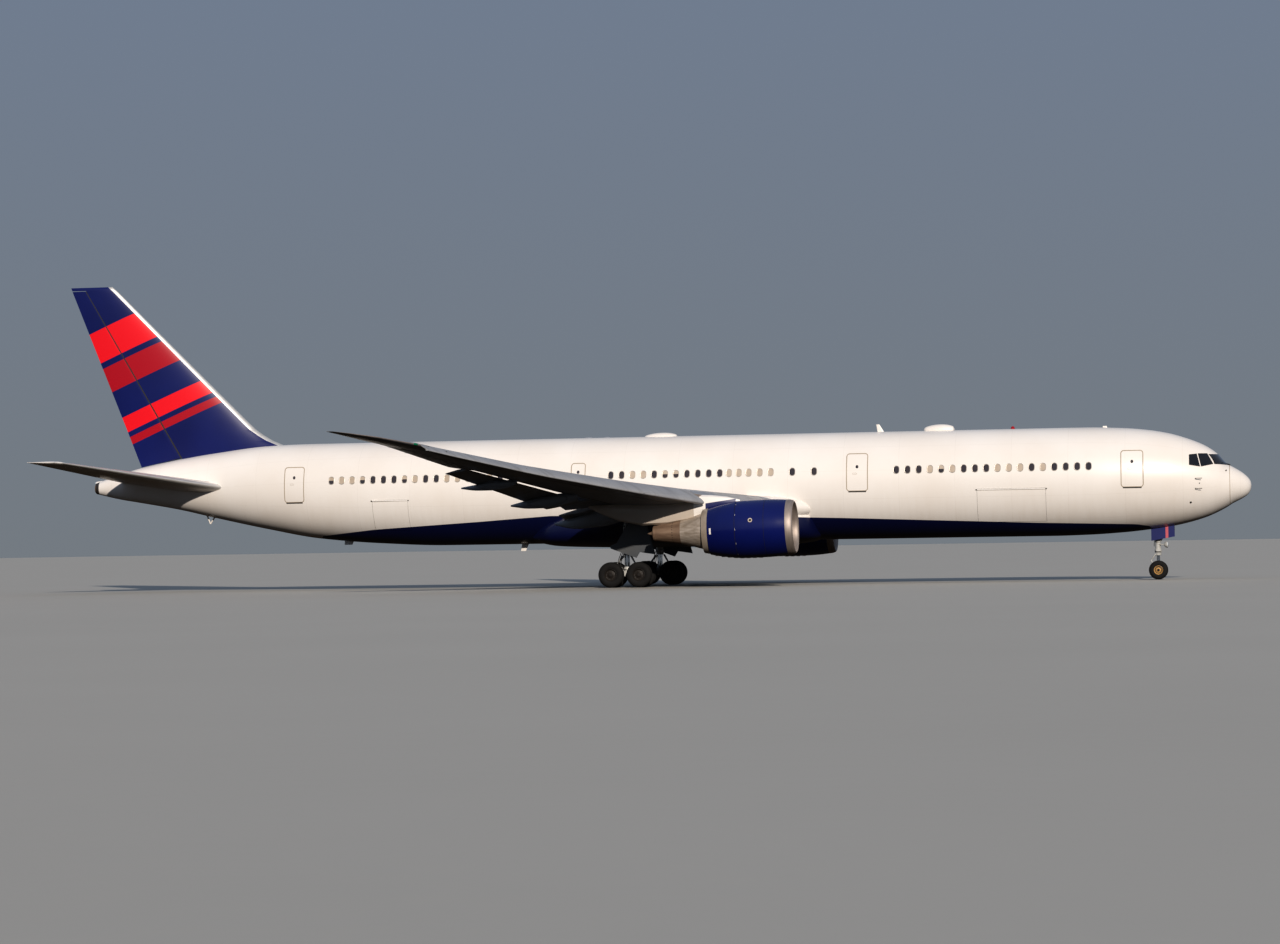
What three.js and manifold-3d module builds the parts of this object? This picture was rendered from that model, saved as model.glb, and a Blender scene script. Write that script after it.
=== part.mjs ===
// A wide body airliner with two engines, parked on its gear, as a scale model at 1:2.
// Tables give the full-size airliner in metres: station is the distance aft of the nose tip,
// side is the distance from the middle (left is positive) and height is measured from the
// middle of the fuselage. The finished group is in millimetres of the model, +X forward,
// +Y left, +Z up, with its origin on the ground under the middle of the length.
import * as THREE from "three";
import { mergeVertices } from "three/addons/utils/BufferGeometryUtils.js";
import Module from "manifold-3d";

const wasm = await Module();
wasm.setup();

// Driving dimensions
const MODEL_SCALE = 0.5;
const MM = 1000 * MODEL_SCALE; // model millimetres for each full-size metre
const LENGTH = 61.37;
const GROUND = -4.95; // height of the ground
const FIT = 0.3 / MM; // gap between pieces that touch
const PIN_GAP = 0.6 / MM; // gap between a pin and its bore
const CLEAR = 5.5 / MM; // gap around a piece that moves
const ENGINE_SIDE = 7.92;
const ENGINE_LIP = { station: 21.75, height: -2.08 };
const ENGINE_TILT = THREE.MathUtils.degToRad(1.8); // nose of the engine up
const GEAR_SIDE = 4.65;
const TRUCK_STATION = 30.68;
const TRUCK_WHEELBASE = 1.42;
const MAIN_TYRE = { radius: 0.635, width: 0.48, spacing: 1.17, rim: 0.3 };
const NOSE_GEAR_STATION = 4.62;
const NOSE_TYRE = { radius: 0.47, width: 0.33, spacing: 0.62, rim: 0.22 };

// Fuselage sections: station, belly height, roof height, half width
const FUSELAGE = [
  [0.0, -0.37, -0.31, 0.03],
  [0.05, -0.6, -0.1, 0.26],
  [0.16, -0.77, 0.06, 0.43],
  [0.45, -0.98, 0.32, 0.69],
  [0.9, -1.21, 0.6, 0.99],
  [1.2, -1.4, 0.78, 1.16],
  [1.66, -1.64, 1.29, 1.38],
  [2.17, -1.86, 1.65, 1.57],
  [3.2, -2.16, 2.09, 1.87],
  [4.05, -2.33, 2.34, 2.07],
  [4.92, -2.44, 2.5, 2.22],
  [6.2, -2.57, 2.63, 2.38],
  [8.0, -2.67, 2.7, 2.49],
  [9.8, -2.705, 2.705, 2.515],
  [41.0, -2.7, 2.705, 2.515],
  [44.5, -2.55, 2.705, 2.47],
  [47.9, -2.24, 2.705, 2.27],
  [50.6, -1.73, 2.65, 1.96],
  [53.5, -1.09, 2.34, 1.54],
  [55.5, -0.62, 2.03, 1.2],
  [57.5, -0.25, 1.65, 0.84],
  [58.8, -0.02, 1.3, 0.6],
  [60.1, 0.29, 0.87, 0.29],
];
const FUSELAGE_SIDES = 28;
const FUSELAGE_POWER = 2.08; // 2 is an ellipse, more is squarer

// Pieces of the fuselage: name and the stations of their rings
const FUSELAGE_PIECES = [
  ["radome", [0, 0.05, 0.16, 0.45, 0.9]],
  ["fuselage_nose", [0.9, 1.2, 1.66, 2.17, 3.2, 4.4, 6.2, 8]],
  ["fuselage_forward", [8, 9.8, 21.5]],
  ["fuselage_centre", [21.5, 36.5]],
  ["fuselage_aft", [36.5, 41, 44.5, 47.9]],
  ["fuselage_tail", [47.9, 49.5, 51.3, 53.5, 56, 58.8]],
  ["tail_cone", [58.8, 60.1]],
];

// Fairing between wing and body: station, bottom, top, half width
const BODY_FAIRING = [
  [21.4, -2.6, -1.9, 1.2],
  [21.8, -2.78, -1.2, 2.25],
  [22.8, -2.9, -0.6, 2.8],
  [25.5, -2.97, -0.4, 3.02],
  [30.5, -2.97, -0.42, 3.02],
  [33.2, -2.92, -0.8, 2.85],
  [35.0, -2.84, -1.4, 2.45],
  [36.2, -2.62, -1.9, 1.3],
];

// Wing: side, leading edge station and height, trailing edge station and height, thickness ratio
const WING = [
  [1.9, 22.16, -1.22, 32.95, -1.5, 0.15],
  [7.9, 26.3, -0.52, 33.44, -0.55, 0.122],
  [8.65, 26.82, -0.42, 33.5, -0.44, 0.12],
  [11.7, 28.93, -0.05, 34.65, 0.03, 0.112],
  [17.2, 32.73, 0.73, 36.73, 0.91, 0.104],
  [22.0, 36.04, 1.6, 38.55, 1.83, 0.096],
  [22.8, 36.6, 1.76, 38.87, 1.93, 0.095],
  [24.6, 38.05, 2.08, 39.45, 2.14, 0.09],
  [25.6, 39.2, 2.26, 39.9, 2.29, 0.08],
  [25.96, 39.75, 2.33, 40.05, 2.34, 0.08],
];
const STABILIZER = [
  [0.3, 51.65, 0.27, 58.42, 0.82, 0.1],
  [9.1, 58.58, 1.7, 60.33, 1.73, 0.09],
  [9.31, 58.95, 1.73, 60.38, 1.75, 0.07],
];
// Fin: height, leading edge station and side, trailing edge station and side, thickness ratio
const FIN = [
  [0.9, 48.83, 0, 57.32, 0, 0.105],
  [11.0, 58.98, 0, 61.29, 0, 0.095],
  [11.26, 59.35, 0, 61.37, 0, 0.08],
];
// Dorsal fillet ahead of the fin: height, front station, half width
const DORSAL = [
  [2.3, 49.0, 0.16],
  [2.72, 49.8, 0.13],
  [3.14, 50.9, 0.1],
  [4.05, 52.05, 0.05],
];
const DORSAL_BACK = 54; // station where the fillet is inside the fin

// Slats: name, inner and outer side, chord at each end, sides of the tracks that carry it
const SLATS = [
  ["slat_inboard", 3.35, 7.05, 1.0, 0.86, [4.2, 6.3]],
  ["slat_outboard", 8.4, 22.75, 0.82, 0.5, [9.6, 13.6, 17.6, 21.6]],
];
const SLAT_FORWARD = 0.55; // of its chord
const SLAT_DOWN = 0.3; // of the half thickness at its back edge
const SLAT_DROOP = THREE.MathUtils.degToRad(20);

// Flaps: name, then for each end the side, nose station and height, tail station and height
const FLAPS = [
  ["flap_inboard", [3.25, 31.7, -1.62, 33.4, -2.0], [6.8, 32.0, -1.0, 33.7, -1.32]],
  ["flap_outboard", [8.72, 32.25, -0.62, 33.88, -1.04], [17.08, 35.88, 0.77, 36.88, 0.6]],
];
const FLAP_THICKNESS = 0.13; // of its chord
const SPOILER_END = 0.865; // of the wing's chord, where the wing ends above the flaps
const REAR_SPAR = 0.7; // of the wing's chord, where the wing ends below

// Fairings of the flap tracks: side, then station, bottom, top and half width of each section
const TRACK_FAIRINGS = [
  [6.1, [29.8, -1.36, -1.05, 0.05], [30.7, -1.68, -0.95, 0.19], [31.6, -1.9, -1.0, 0.23],
    [33.0, -2.0, -1.4, 0.19], [34.05, -1.8, -1.7, 0.03]],
  [10.8, [31.9, -0.62, -0.3, 0.05], [32.6, -0.88, -0.3, 0.17], [33.3, -1.0, -0.4, 0.19],
    [34.3, -1.02, -0.6, 0.15], [35.2, -0.91, -0.83, 0.03]],
  [14.7, [34.0, 0.08, 0.3, 0.04], [34.5, -0.1, 0.3, 0.14], [35.1, -0.18, 0.3, 0.16],
    [35.9, -0.18, 0.12, 0.12], [36.7, -0.09, -0.02, 0.03]],
];

// Control surfaces: both ends of the bay, hinge as part of the chord, droop at rest in degrees,
// and the gaps that the surface leaves at both ends
const AILERONS = [
  ["aileron_inboard", 6.82, 8.7, 0.77, 12, [0.11, 0.14]],
  ["aileron_outboard", 17.3, 21.72, 0.76, 0, [0.05, 0.05]],
];
const ELEVATOR = { inner: 1.48, outer: 8.95, hinge: 0.7, endGaps: [0.05, 0.06] };
const RUDDER = { bottom: 1.2, foot: 2.32, top: 11.1, hinge: 0.69, endGaps: [0, 0.15] };

// Pylon over and behind the engine: station, bottom, top, half width
const PYLON = [
  [24.45, -0.95, -0.71, 0.05],
  [25.1, -1.25, -0.56, 0.17],
  [25.9, -1.45, -0.47, 0.23],
  [26.8, -1.65, -0.45, 0.25],
  [28.0, -1.86, -0.6, 0.26],
  [29.3, -1.9, -0.7, 0.26],
  [30.4, -1.68, -0.8, 0.22],
  [31.3, -1.32, -0.85, 0.13],
  [31.95, -1.0, -0.9, 0.03],
];

// Engine profiles: distance aft of the inlet lip, radius
const LIP_PROFILE = [
  [0.36, 1.345], [0.12, 1.3], [0, 1.22], [0.1, 1.135], [0.36, 1.105],
];
const COWL_PROFILE = [
  [0.36, 1.345], [0.9, 1.387], [1.55, 1.405], [2.5, 1.398], [3.5, 1.3], [4.18, 1.165],
  [4.19, 1.13], [4.48, 1.07], [4.48, 1.045], [3.3, 1.12], [1.75, 1.15], [1.6, 1.19],
  [1.15, 1.19], [0.8, 1.14], [0.36, 1.105],
];
const COWL_OUTSIDE = 8; // points of the cowl profile that lie outside
const CORE_PROFILE = [
  [1.62, 0], [1.62, 0.4], [1.76, 0.46], [1.76, 1.149], [3.3, 1.119], [3.34, 0.94], [4.2, 0.86],
  [5.6, 0.57], [6.98, 0.355], [6.98, 0.31], [6.75, 0.2], [7.3, 0],
];
const FAN = { front: 1.2, back: 1.6, tip: 1.178, hub: 0.38, nose: 0.7, blades: 20 };
const FAN_SHAFT = 0.08; // radius
const ENGINE_SEGMENTS = 24;
const ROD_SIDES = 12;
const PIN_SIDES = 8;

// Cockpit glazing seen from the side: station, height
const GLAZING = [
  [3.01, 0.69], [3.01, 1.21], [2.63, 1.25], [2.1, 1.26], [1.61, 1.21], [1.0, 1.19],
  [0.95, 0.745], [1.74, 0.74], [2.47, 0.6],
];
const GLAZING_DEPTH = 0.06;

// Cargo doors on the right side: name, front and back station, bottom and hinge height
const CARGO_DOORS = [
  ["cargo_door_forward", "fuselage_forward", 10.0, 13.4, -1.96, -0.36],
  ["cargo_door_aft", "fuselage_aft", 42.5, 44.4, -1.9, -0.38],
];
const CARGO_DOOR_THICKNESS = 0.12;
const CARGO_HOLD_WALL = 0.9; // distance of the hold's inner wall from the middle
const DOOR_BARREL = 0.032; // radius of the hinge barrel

const COLOURS = {
  white: [0xefe9e2, 0.35, 0],
  navy: [0x151f55, 0.3, 0],
  grey: [0x8f949b, 0.45, 0],
  metal: [0xb9bcc0, 0.3, 0.9],
  hotMetal: [0x8a7a68, 0.45, 0.9],
  glass: [0x10141c, 0.08, 0],
  tyre: [0x1c1c1e, 0.85, 0],
  gear: [0xc9cbcc, 0.45, 0.2],
  titanium: [0x4c4f55, 0.35, 0.9],
};

// Placing: full-size metres to model millimetres
function at(station, side, height) {
  return new THREE.Vector3((LENGTH / 2 - station) * MM, side * MM, (height - GROUND) * MM);
}

// Closed solids from geometry, and geometry from solids
function solidOf(geometry) {
  const bare = geometry.clone();
  bare.deleteAttribute("normal");
  bare.deleteAttribute("uv");
  const merged = mergeVertices(bare, 1e-3);
  const corners = merged.index.array;
  const triangles = [];
  for (let i = 0; i < corners.length; i += 3) {
    const [a, b, c] = [corners[i], corners[i + 1], corners[i + 2]];
    if (a !== b && b !== c && a !== c) triangles.push([a, b, c]);
  }
  const build = (faces) =>
    new wasm.Manifold(
      new wasm.Mesh({
        numProp: 3,
        vertProperties: Float32Array.from(merged.attributes.position.array),
        triVerts: Uint32Array.from(faces.flat()),
      }),
    );
  const made = build(triangles);
  return made.volume() > 0 ? made : build(triangles.map(([a, b, c]) => [a, c, b]));
}

function largestPiece(solid) {
  return solid.decompose().sort((a, b) => b.volume() - a.volume())[0];
}

function geometryOf(solid) {
  const mesh = solid.getMesh();
  const positions = new Float32Array(mesh.numVert * 3);
  for (let i = 0; i < mesh.numVert; i++)
    for (let k = 0; k < 3; k++) positions[3 * i + k] = mesh.vertProperties[mesh.numProp * i + k];
  return new THREE.BufferGeometry()
    .setAttribute("position", new THREE.BufferAttribute(positions, 3))
    .setIndex(new THREE.BufferAttribute(Uint32Array.from(mesh.triVerts), 1));
}

// The triangles that close a flat ring of points, in the ring's own order
function capTriangles(ring) {
  const normal = new THREE.Vector3();
  ring.forEach((p, i) => {
    const q = ring[(i + 1) % ring.length];
    normal.x += (p.y - q.y) * (p.z + q.z);
    normal.y += (p.z - q.z) * (p.x + q.x);
    normal.z += (p.x - q.x) * (p.y + q.y);
  });
  const [ax, ay, az] = [Math.abs(normal.x), Math.abs(normal.y), Math.abs(normal.z)];
  const flat = ring.map((p) => {
    if (ax >= ay && ax >= az) return new THREE.Vector2(p.y, p.z);
    if (ay >= az) return new THREE.Vector2(p.z, p.x);
    return new THREE.Vector2(p.x, p.y);
  });
  const turn = Math.sign(THREE.ShapeUtils.area(flat));
  return THREE.ShapeUtils.triangulateShape(flat, []).map(([a, b, c]) => {
    const area = THREE.ShapeUtils.area([flat[a], flat[b], flat[c]]);
    return Math.sign(area) === turn ? [a, b, c] : [a, c, b];
  });
}

// A closed solid through rings of points, each ring with the same number of corners
function loft(rings) {
  const sides = rings[0].length;
  const index = [];
  for (let r = 0; r < rings.length - 1; r++)
    for (let i = 0; i < sides; i++) {
      const a = r * sides + i;
      const b = r * sides + ((i + 1) % sides);
      index.push(a, b, a + sides, b, b + sides, a + sides);
    }
  const last = (rings.length - 1) * sides;
  for (const [a, b, c] of capTriangles(rings[0])) index.push(a, c, b);
  for (const [a, b, c] of capTriangles(rings[rings.length - 1]))
    index.push(last + a, last + b, last + c);
  const geometry = new THREE.BufferGeometry();
  const positions = rings.flat().flatMap((p) => [p.x, p.y, p.z]);
  geometry.setAttribute("position", new THREE.Float32BufferAttribute(positions, 3));
  geometry.setIndex(index);
  return solidOf(geometry);
}

// A row of a table at any station, smooth between the rows
function smoothRow(rows, x) {
  const last = rows.length - 1;
  const i = Math.min(Math.max(rows.findIndex((row) => row[0] > x), 1), last);
  const k = x >= rows[last][0] ? last : i;
  const [a, b] = [rows[k - 1], rows[k]];
  const step = b[0] - a[0];
  const t = Math.min((x - a[0]) / step, 1);
  return a.map((value, column) => {
    if (column === 0) return x;
    const rise = (n) => (rows[n][column] - rows[n - 1][column]) / (rows[n][0] - rows[n - 1][0]);
    const slope = (n) => {
      if (n === 0) return rise(1);
      if (n === last) return rise(last);
      const [before, after] = [rise(n), rise(n + 1)];
      return before * after <= 0 ? 0 : (2 * before * after) / (before + after);
    };
    const [m0, m1] = [slope(k - 1) * step, slope(k) * step];
    const [t2, t3] = [t * t, t * t * t];
    return (
      (2 * t3 - 3 * t2 + 1) * value + (t3 - 2 * t2 + t) * m0 +
      (3 * t2 - 2 * t3) * b[column] + (t3 - t2) * m1
    );
  });
}

// An oval body through rows of station, bottom, top and half width
function ovalBody(rows, { sides = 16, power = 2, side = 0, grow = 0 } = {}) {
  const round = (value) => Math.sign(value) * Math.abs(value) ** (2 / power);
  return loft(
    rows.map(([station, bottom, top, halfWidth]) =>
      Array.from({ length: sides }, (_, i) => {
        const angle = (2 * Math.PI * i) / sides;
        return at(
          station,
          side + (halfWidth + grow) * round(Math.sin(angle)),
          (top + bottom) / 2 + ((top - bottom) / 2 + grow) * round(Math.cos(angle)),
        );
      }),
    ),
  );
}

function fuselageBody(stations, grow = 0) {
  return ovalBody(
    stations.map((station) => smoothRow(FUSELAGE, station)),
    { sides: FUSELAGE_SIDES, power: FUSELAGE_POWER, grow },
  );
}

// A flat outline of station and height, with thickness across the airliner
function plate(outline, fromSide, toSide) {
  return loft([fromSide, toSide].map((side) => outline.map(([s, h]) => at(s, side, h))));
}

function box(stations, sides, heights) {
  const [s0, s1] = stations;
  return plate(
    [[s0, heights[0]], [s1, heights[0]], [s1, heights[1]], [s0, heights[1]]], sides[0], sides[1],
  );
}

// A round bar between two points in model millimetres
function rod(from, to, radius, segments = ROD_SIDES, endRadius = radius) {
  const along = to.clone().sub(from);
  const geometry = new THREE.CylinderGeometry(endRadius * MM, radius * MM, along.length(), segments);
  geometry.applyQuaternion(
    new THREE.Quaternion().setFromUnitVectors(new THREE.Vector3(0, 1, 0), along.normalize()),
  );
  const middle = from.clone().add(to).multiplyScalar(0.5);
  geometry.translate(middle.x, middle.y, middle.z);
  return solidOf(geometry);
}

// The radius of a many-sided hole that a round pin turns in
function boreRadius(radius, segments = ROD_SIDES, gap = PIN_GAP) {
  return (radius + gap) / Math.cos(Math.PI / segments);
}

function union(solids) {
  return solids.reduce((a, b) => a.add(b));
}

// Wing-like surfaces
function sectionAt(rows, span) {
  const last = rows.length - 1;
  const k = Math.min(Math.max(rows.findIndex((row) => row[0] >= span), 1), last);
  const t = (span - rows[k - 1][0]) / (rows[k][0] - rows[k - 1][0]);
  const [, nose, noseHeight, tail, tailHeight, ratio] = rows[k - 1].map((value, i) =>
    THREE.MathUtils.lerp(value, rows[k][i], t),
  );
  const chord = tail - nose;
  return { span, nose, noseHeight, chord, slope: (tailHeight - noseHeight) / chord, ratio };
}

// Half the thickness of the section at a distance aft of its nose
function halfThickness({ chord, ratio }, aft) {
  const x = Math.min(Math.max(aft / chord, 0), 1);
  const shape =
    0.2969 * Math.sqrt(x) - 0.126 * x - 0.3516 * x ** 2 + 0.2843 * x ** 3 - 0.1036 * x ** 4;
  return 5 * ratio * chord * shape + 0.008 * x;
}

const CHORD_STEPS = [0, 0.015, 0.07, 0.2, 0.42, 0.7, 1];
function cleanOutline(section, grow = 0) {
  const points = CHORD_STEPS.map((x) => [
    x * section.chord + grow * (2 * x - 1),
    halfThickness(section, x * section.chord) + (x > 0 ? grow : 0),
  ]);
  return [...points, ...points.slice(1).reverse().map(([aft, up]) => [aft, -up])];
}

const wingPlace = (side) => (station, height, span) => at(station, side * span, height);
const finPlace = (station, offset, span) => at(station, offset, span);

// A solid through sections of a surface, each with the outline that outline(section) gives
function surfaceSolid(sections, outline, place) {
  return loft(
    sections.map((section) =>
      outline(section).map(([aft, up]) =>
        place(section.nose + aft, section.noseHeight + section.slope * aft + up, section.span),
      ),
    ),
  );
}

function sectionsBetween(rows, from, to) {
  const spans = [from, ...rows.map((row) => row[0]).filter((s) => s > from && s < to), to];
  return spans.map((span) => sectionAt(rows, span));
}

// A hinged control surface, the bay that it lies in, and its hinge line
function controlSurface(rows, from, to, hinge, place, endGaps, droop = 0) {
  const ends = [from, to].map((span) => sectionAt(rows, span));
  const turn = THREE.MathUtils.degToRad(droop);
  const lerpSection = (span) => {
    const t = (span - from) / (to - from);
    const mix = (value) => THREE.MathUtils.lerp(value(ends[0]), value(ends[1]), t);
    const chord = mix((s) => s.chord);
    return {
      span,
      chord,
      nose: mix((s) => s.nose),
      noseHeight: mix((s) => s.noseHeight),
      slope: mix((s) => s.slope * s.chord) / chord,
      ratio: mix((s) => s.ratio * s.chord) / chord,
    };
  };
  const pointAt = (span) => {
    const s = lerpSection(span);
    const aft = hinge * s.chord;
    return place(s.nose + aft, s.noseHeight + s.slope * aft, span);
  };
  const axis = pointAt(to).sub(pointAt(from)).normalize();
  const sweepStretch = 1 / Math.sqrt(1 - axis.x ** 2); // the nose is round about the swept hinge
  const tailPoints = (section, reach, thick) => {
    const aftOf = (x) => section.chord * THREE.MathUtils.lerp(hinge, 1, x);
    return [0.4, 1].map((x) => [aftOf(x) + reach * x, thick(halfThickness(section, aftOf(x)))]);
  };
  const noseSteps = 6;
  const outline = (grow, reach, thick) => (section) => {
    const centre = hinge * section.chord;
    const bare = halfThickness(section, centre);
    const radius = grow > 0 ? (bare + grow) / Math.cos(Math.PI / noseSteps / 2) : bare;
    const arc = Array.from({ length: noseSteps + 1 }, (_, i) => {
      const angle = Math.PI * (1.5 - i / noseSteps);
      return [centre + sweepStretch * radius * Math.cos(angle), radius * Math.sin(angle)];
    });
    const upper = tailPoints(section, reach, thick);
    const lower = tailPoints(section, reach, thick).reverse().map(([aft, up]) => [aft, -up]);
    return [...arc, ...upper, ...lower];
  };
  const drooped = (section) =>
    outline(0, 0, (t) => t)(section).map(([aft, up]) => {
      const centre = hinge * section.chord;
      const [dx, dz] = [aft - centre, up];
      return [
        centre + dx * Math.cos(turn) + dz * Math.sin(turn),
        dz * Math.cos(turn) - dx * Math.sin(turn),
      ];
    });
  const inner = [from + endGaps[0], to - endGaps[1]];
  return {
    axis,
    piece: surfaceSolid(inner.map(lerpSection), drooped, place),
    bay: surfaceSolid(ends, outline(CLEAR, 0.3, (t) => t + 1), place),
    pointAt,
    radiusAt: (span) => {
      const s = lerpSection(span);
      return halfThickness(s, hinge * s.chord);
    },
  };
}

// Hinge brackets with their pins, and the slots that they need in the control surface
const BRACKET = { thickness: 0.036, reach: 0.3, pin: 0.016, pinLength: 0.16 };
function hingeBrackets(control, spans) {
  const axis = control.pointAt(spans[1]).sub(control.pointAt(spans[0])).normalize();
  const forward = new THREE.Vector3(1, 0, 0).addScaledVector(axis, -axis.x).normalize();
  const across = new THREE.Vector3().crossVectors(forward, axis);
  const brackets = [];
  const slots = [];
  for (const span of spans) {
    const centre = control.pointAt(span);
    const radius = control.radiusAt(span);
    const halfHeight = Math.min(0.45 * radius, 0.05);
    const depth = BRACKET.reach + radius;
    const stem = new THREE.BoxGeometry(depth * MM, BRACKET.thickness * MM, 2 * halfHeight * MM);
    stem.translate((depth / 2) * MM, 0, 0);
    stem.applyMatrix4(new THREE.Matrix4().makeBasis(forward, axis, across));
    stem.translate(centre.x, centre.y, centre.z);
    const end = (length) => centre.clone().addScaledVector(axis, (length / 2) * MM);
    const pair = (length) => [end(-length), end(length)];
    brackets.push(
      solidOf(stem),
      rod(...pair(BRACKET.thickness), halfHeight, PIN_SIDES),
      rod(...pair(BRACKET.pinLength), BRACKET.pin, PIN_SIDES),
    );
    slots.push(
      rod(...pair(BRACKET.thickness + 2 * CLEAR), boreRadius(radius, PIN_SIDES, CLEAR), PIN_SIDES),
      rod(...pair(BRACKET.pinLength + 2 * FIT), boreRadius(BRACKET.pin, PIN_SIDES), PIN_SIDES),
    );
  }
  return { brackets: union(brackets), slots: union(slots) };
}

// The scene, with two points of each hinge line in model millimetres
const airliner = new THREE.Group();
const hinges = {};
function addPiece(name, solid, colour) {
  const [color, roughness, metalness] = COLOURS[colour];
  const material = new THREE.MeshStandardMaterial({ color, roughness, metalness });
  const mesh = new THREE.Mesh(geometryOf(solid), material);
  mesh.name = name;
  airliner.add(mesh);
}

// Fuselage
const fuselage = {};
for (const [name, stations] of FUSELAGE_PIECES) {
  const ends = [...stations];
  if (name !== "tail_cone") ends[ends.length - 1] -= FIT;
  fuselage[name] = fuselageBody(ends);
}

// Cockpit glazing in its recess
const glazingMiddle = [1.98, 0.925];
const glazingPrism = (scale) =>
  plate(
    GLAZING.map(([s, h]) => [
      glazingMiddle[0] + (s - glazingMiddle[0]) * scale[0],
      glazingMiddle[1] + (h - glazingMiddle[1]) * scale[1],
    ]),
    -2.4, 2.4,
  );
const noseStations = FUSELAGE_PIECES[1][1];
const noseInside = (depth) => fuselageBody([0.7, ...noseStations], -depth);
fuselage.fuselage_nose = fuselage.fuselage_nose.subtract(
  glazingPrism([1, 1]).subtract(noseInside(GLAZING_DEPTH)),
);
const glazing = fuselageBody(noseStations)
  .intersect(glazingPrism([0.998, 0.994]))
  .subtract(noseInside(GLAZING_DEPTH - FIT));

// Nose gear bay, open between its doors
const NOSE_BAY = { front: 3.78, back: 4.96, halfWidth: 0.4, top: -1.9 };
fuselage.fuselage_nose = fuselage.fuselage_nose.subtract(
  box([NOSE_BAY.front, NOSE_BAY.back], [-NOSE_BAY.halfWidth, NOSE_BAY.halfWidth],
    [NOSE_BAY.top, -3]),
);

// Jack pad under the nose
const NOSE_JACK = { station: 7.2, bottom: -2.72, radius: 0.06 };
fuselage.fuselage_nose = fuselage.fuselage_nose.add(
  rod(at(NOSE_JACK.station, 0, -2.5), at(NOSE_JACK.station, 0, NOSE_JACK.bottom), NOSE_JACK.radius),
);

// Cargo doors, hinged along their top edge, and the holds behind them
const cargoDoors = {};
for (const [name, host, front, back, bottom, hingeHeight] of CARGO_DOORS) {
  const stations = FUSELAGE_PIECES.find(([piece]) => piece === host)[1];
  const skin = fuselageBody(stations);
  const inside = fuselageBody(
    [stations[0] - 0.1, ...stations, stations[stations.length - 1] + 0.1],
    -CARGO_DOOR_THICKNESS,
  );
  const [, belly, roof, halfWidth] = smoothRow(FUSELAGE, (front + back) / 2);
  const [middle, half] = [(roof + belly) / 2, (roof - belly) / 2];
  const skinSide =
    halfWidth *
    (1 - Math.abs((hingeHeight - middle) / half) ** FUSELAGE_POWER) ** (1 / FUSELAGE_POWER);
  const hingeSide = -(skinSide + 0.004);
  const lugLength = 0.06;
  const hingeAt = (station) => at(station, hingeSide, hingeHeight);
  const [doorFront, doorBack] = [front + CLEAR, back - CLEAR];
  const opening = box([front, back], [-3, -CARGO_HOLD_WALL], [bottom - CLEAR, hingeHeight]);
  const barrelSpace = rod(hingeAt(front), hingeAt(back), DOOR_BARREL + CLEAR);
  const lugs = [front - lugLength, back].map((station) =>
    box([station, station + lugLength], [hingeSide - 0.02, hingeSide + 0.2],
      [hingeHeight - 0.03, hingeHeight + 0.03]),
  );
  const pinLength = 0.05;
  const pins = [
    [front - lugLength / 2, doorFront + pinLength],
    [doorBack - pinLength, back + lugLength / 2],
  ];
  const pinRadius = DOOR_BARREL / 2;
  fuselage[host] = fuselage[host]
    .subtract(opening)
    .subtract(barrelSpace)
    .add(union(lugs))
    .add(union(pins.map(([a, b]) => rod(hingeAt(a), hingeAt(b), pinRadius))));
  hinges[name] = [hingeAt(front), hingeAt(back)];
  cargoDoors[name] = skin
    .intersect(box([doorFront, doorBack], [-3, -1], [bottom, hingeHeight - 0.012]))
    .subtract(inside)
    .add(rod(hingeAt(doorFront), hingeAt(doorBack), DOOR_BARREL))
    .subtract(
      union(pins.map(([a, b]) => rod(hingeAt(a - 0.01), hingeAt(b + 0.01), boreRadius(pinRadius)))),
    );
}

// Exhaust opening in the tail cone
fuselage.tail_cone = fuselage.tail_cone.subtract(
  rod(at(59.85, 0, 0.57), at(60.3, 0, 0.58), 0.19, ROD_SIDES, 0.23),
);

for (const [name] of FUSELAGE_PIECES) addPiece(name, fuselage[name], "white");
addPiece("cockpit_glazing", glazing, "glass");
for (const [name] of CARGO_DOORS) addPiece(name, cargoDoors[name], "white");

// Fairing between wing and body
const fairingBody = (grow) =>
  ovalBody(
    BODY_FAIRING,
    { sides: 20, power: 3, grow },
  );
const centreBody = fuselageBody([21, 37], FIT);
addPiece("wing_body_fairing", largestPiece(fairingBody(0).subtract(centreBody)), "navy");

// Wings with slats, flaps, ailerons and track fairings
const WING_JACK = { side: 6.0, station: 29.2, bottom: -1.33, radius: 0.08 };
function slatChordAt([, from, to, fromChord, toChord], span) {
  return THREE.MathUtils.lerp(fromChord, toChord, (span - from) / (to - from));
}

// Nose of the wing behind a slat: aft and up as parts of the slat's chord and of the thickness
const FIXED_NOSE = [
  [0.52, -1], [0.34, -0.72], [0.28, -0.2], [0.34, 0.32], [0.55, 0.66], [1.02, 0.97],
];
function slatBay(slat) {
  return (section) => {
    const chord = slatChordAt(slat, section.span);
    const nose = FIXED_NOSE.map(([x, y]) => [x * chord, y * halfThickness(section, x * chord)]);
    return [[-1, -1], [nose[0][0], -1], ...nose, [nose[5][0], 1], [-1, 1]];
  };
}
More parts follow.
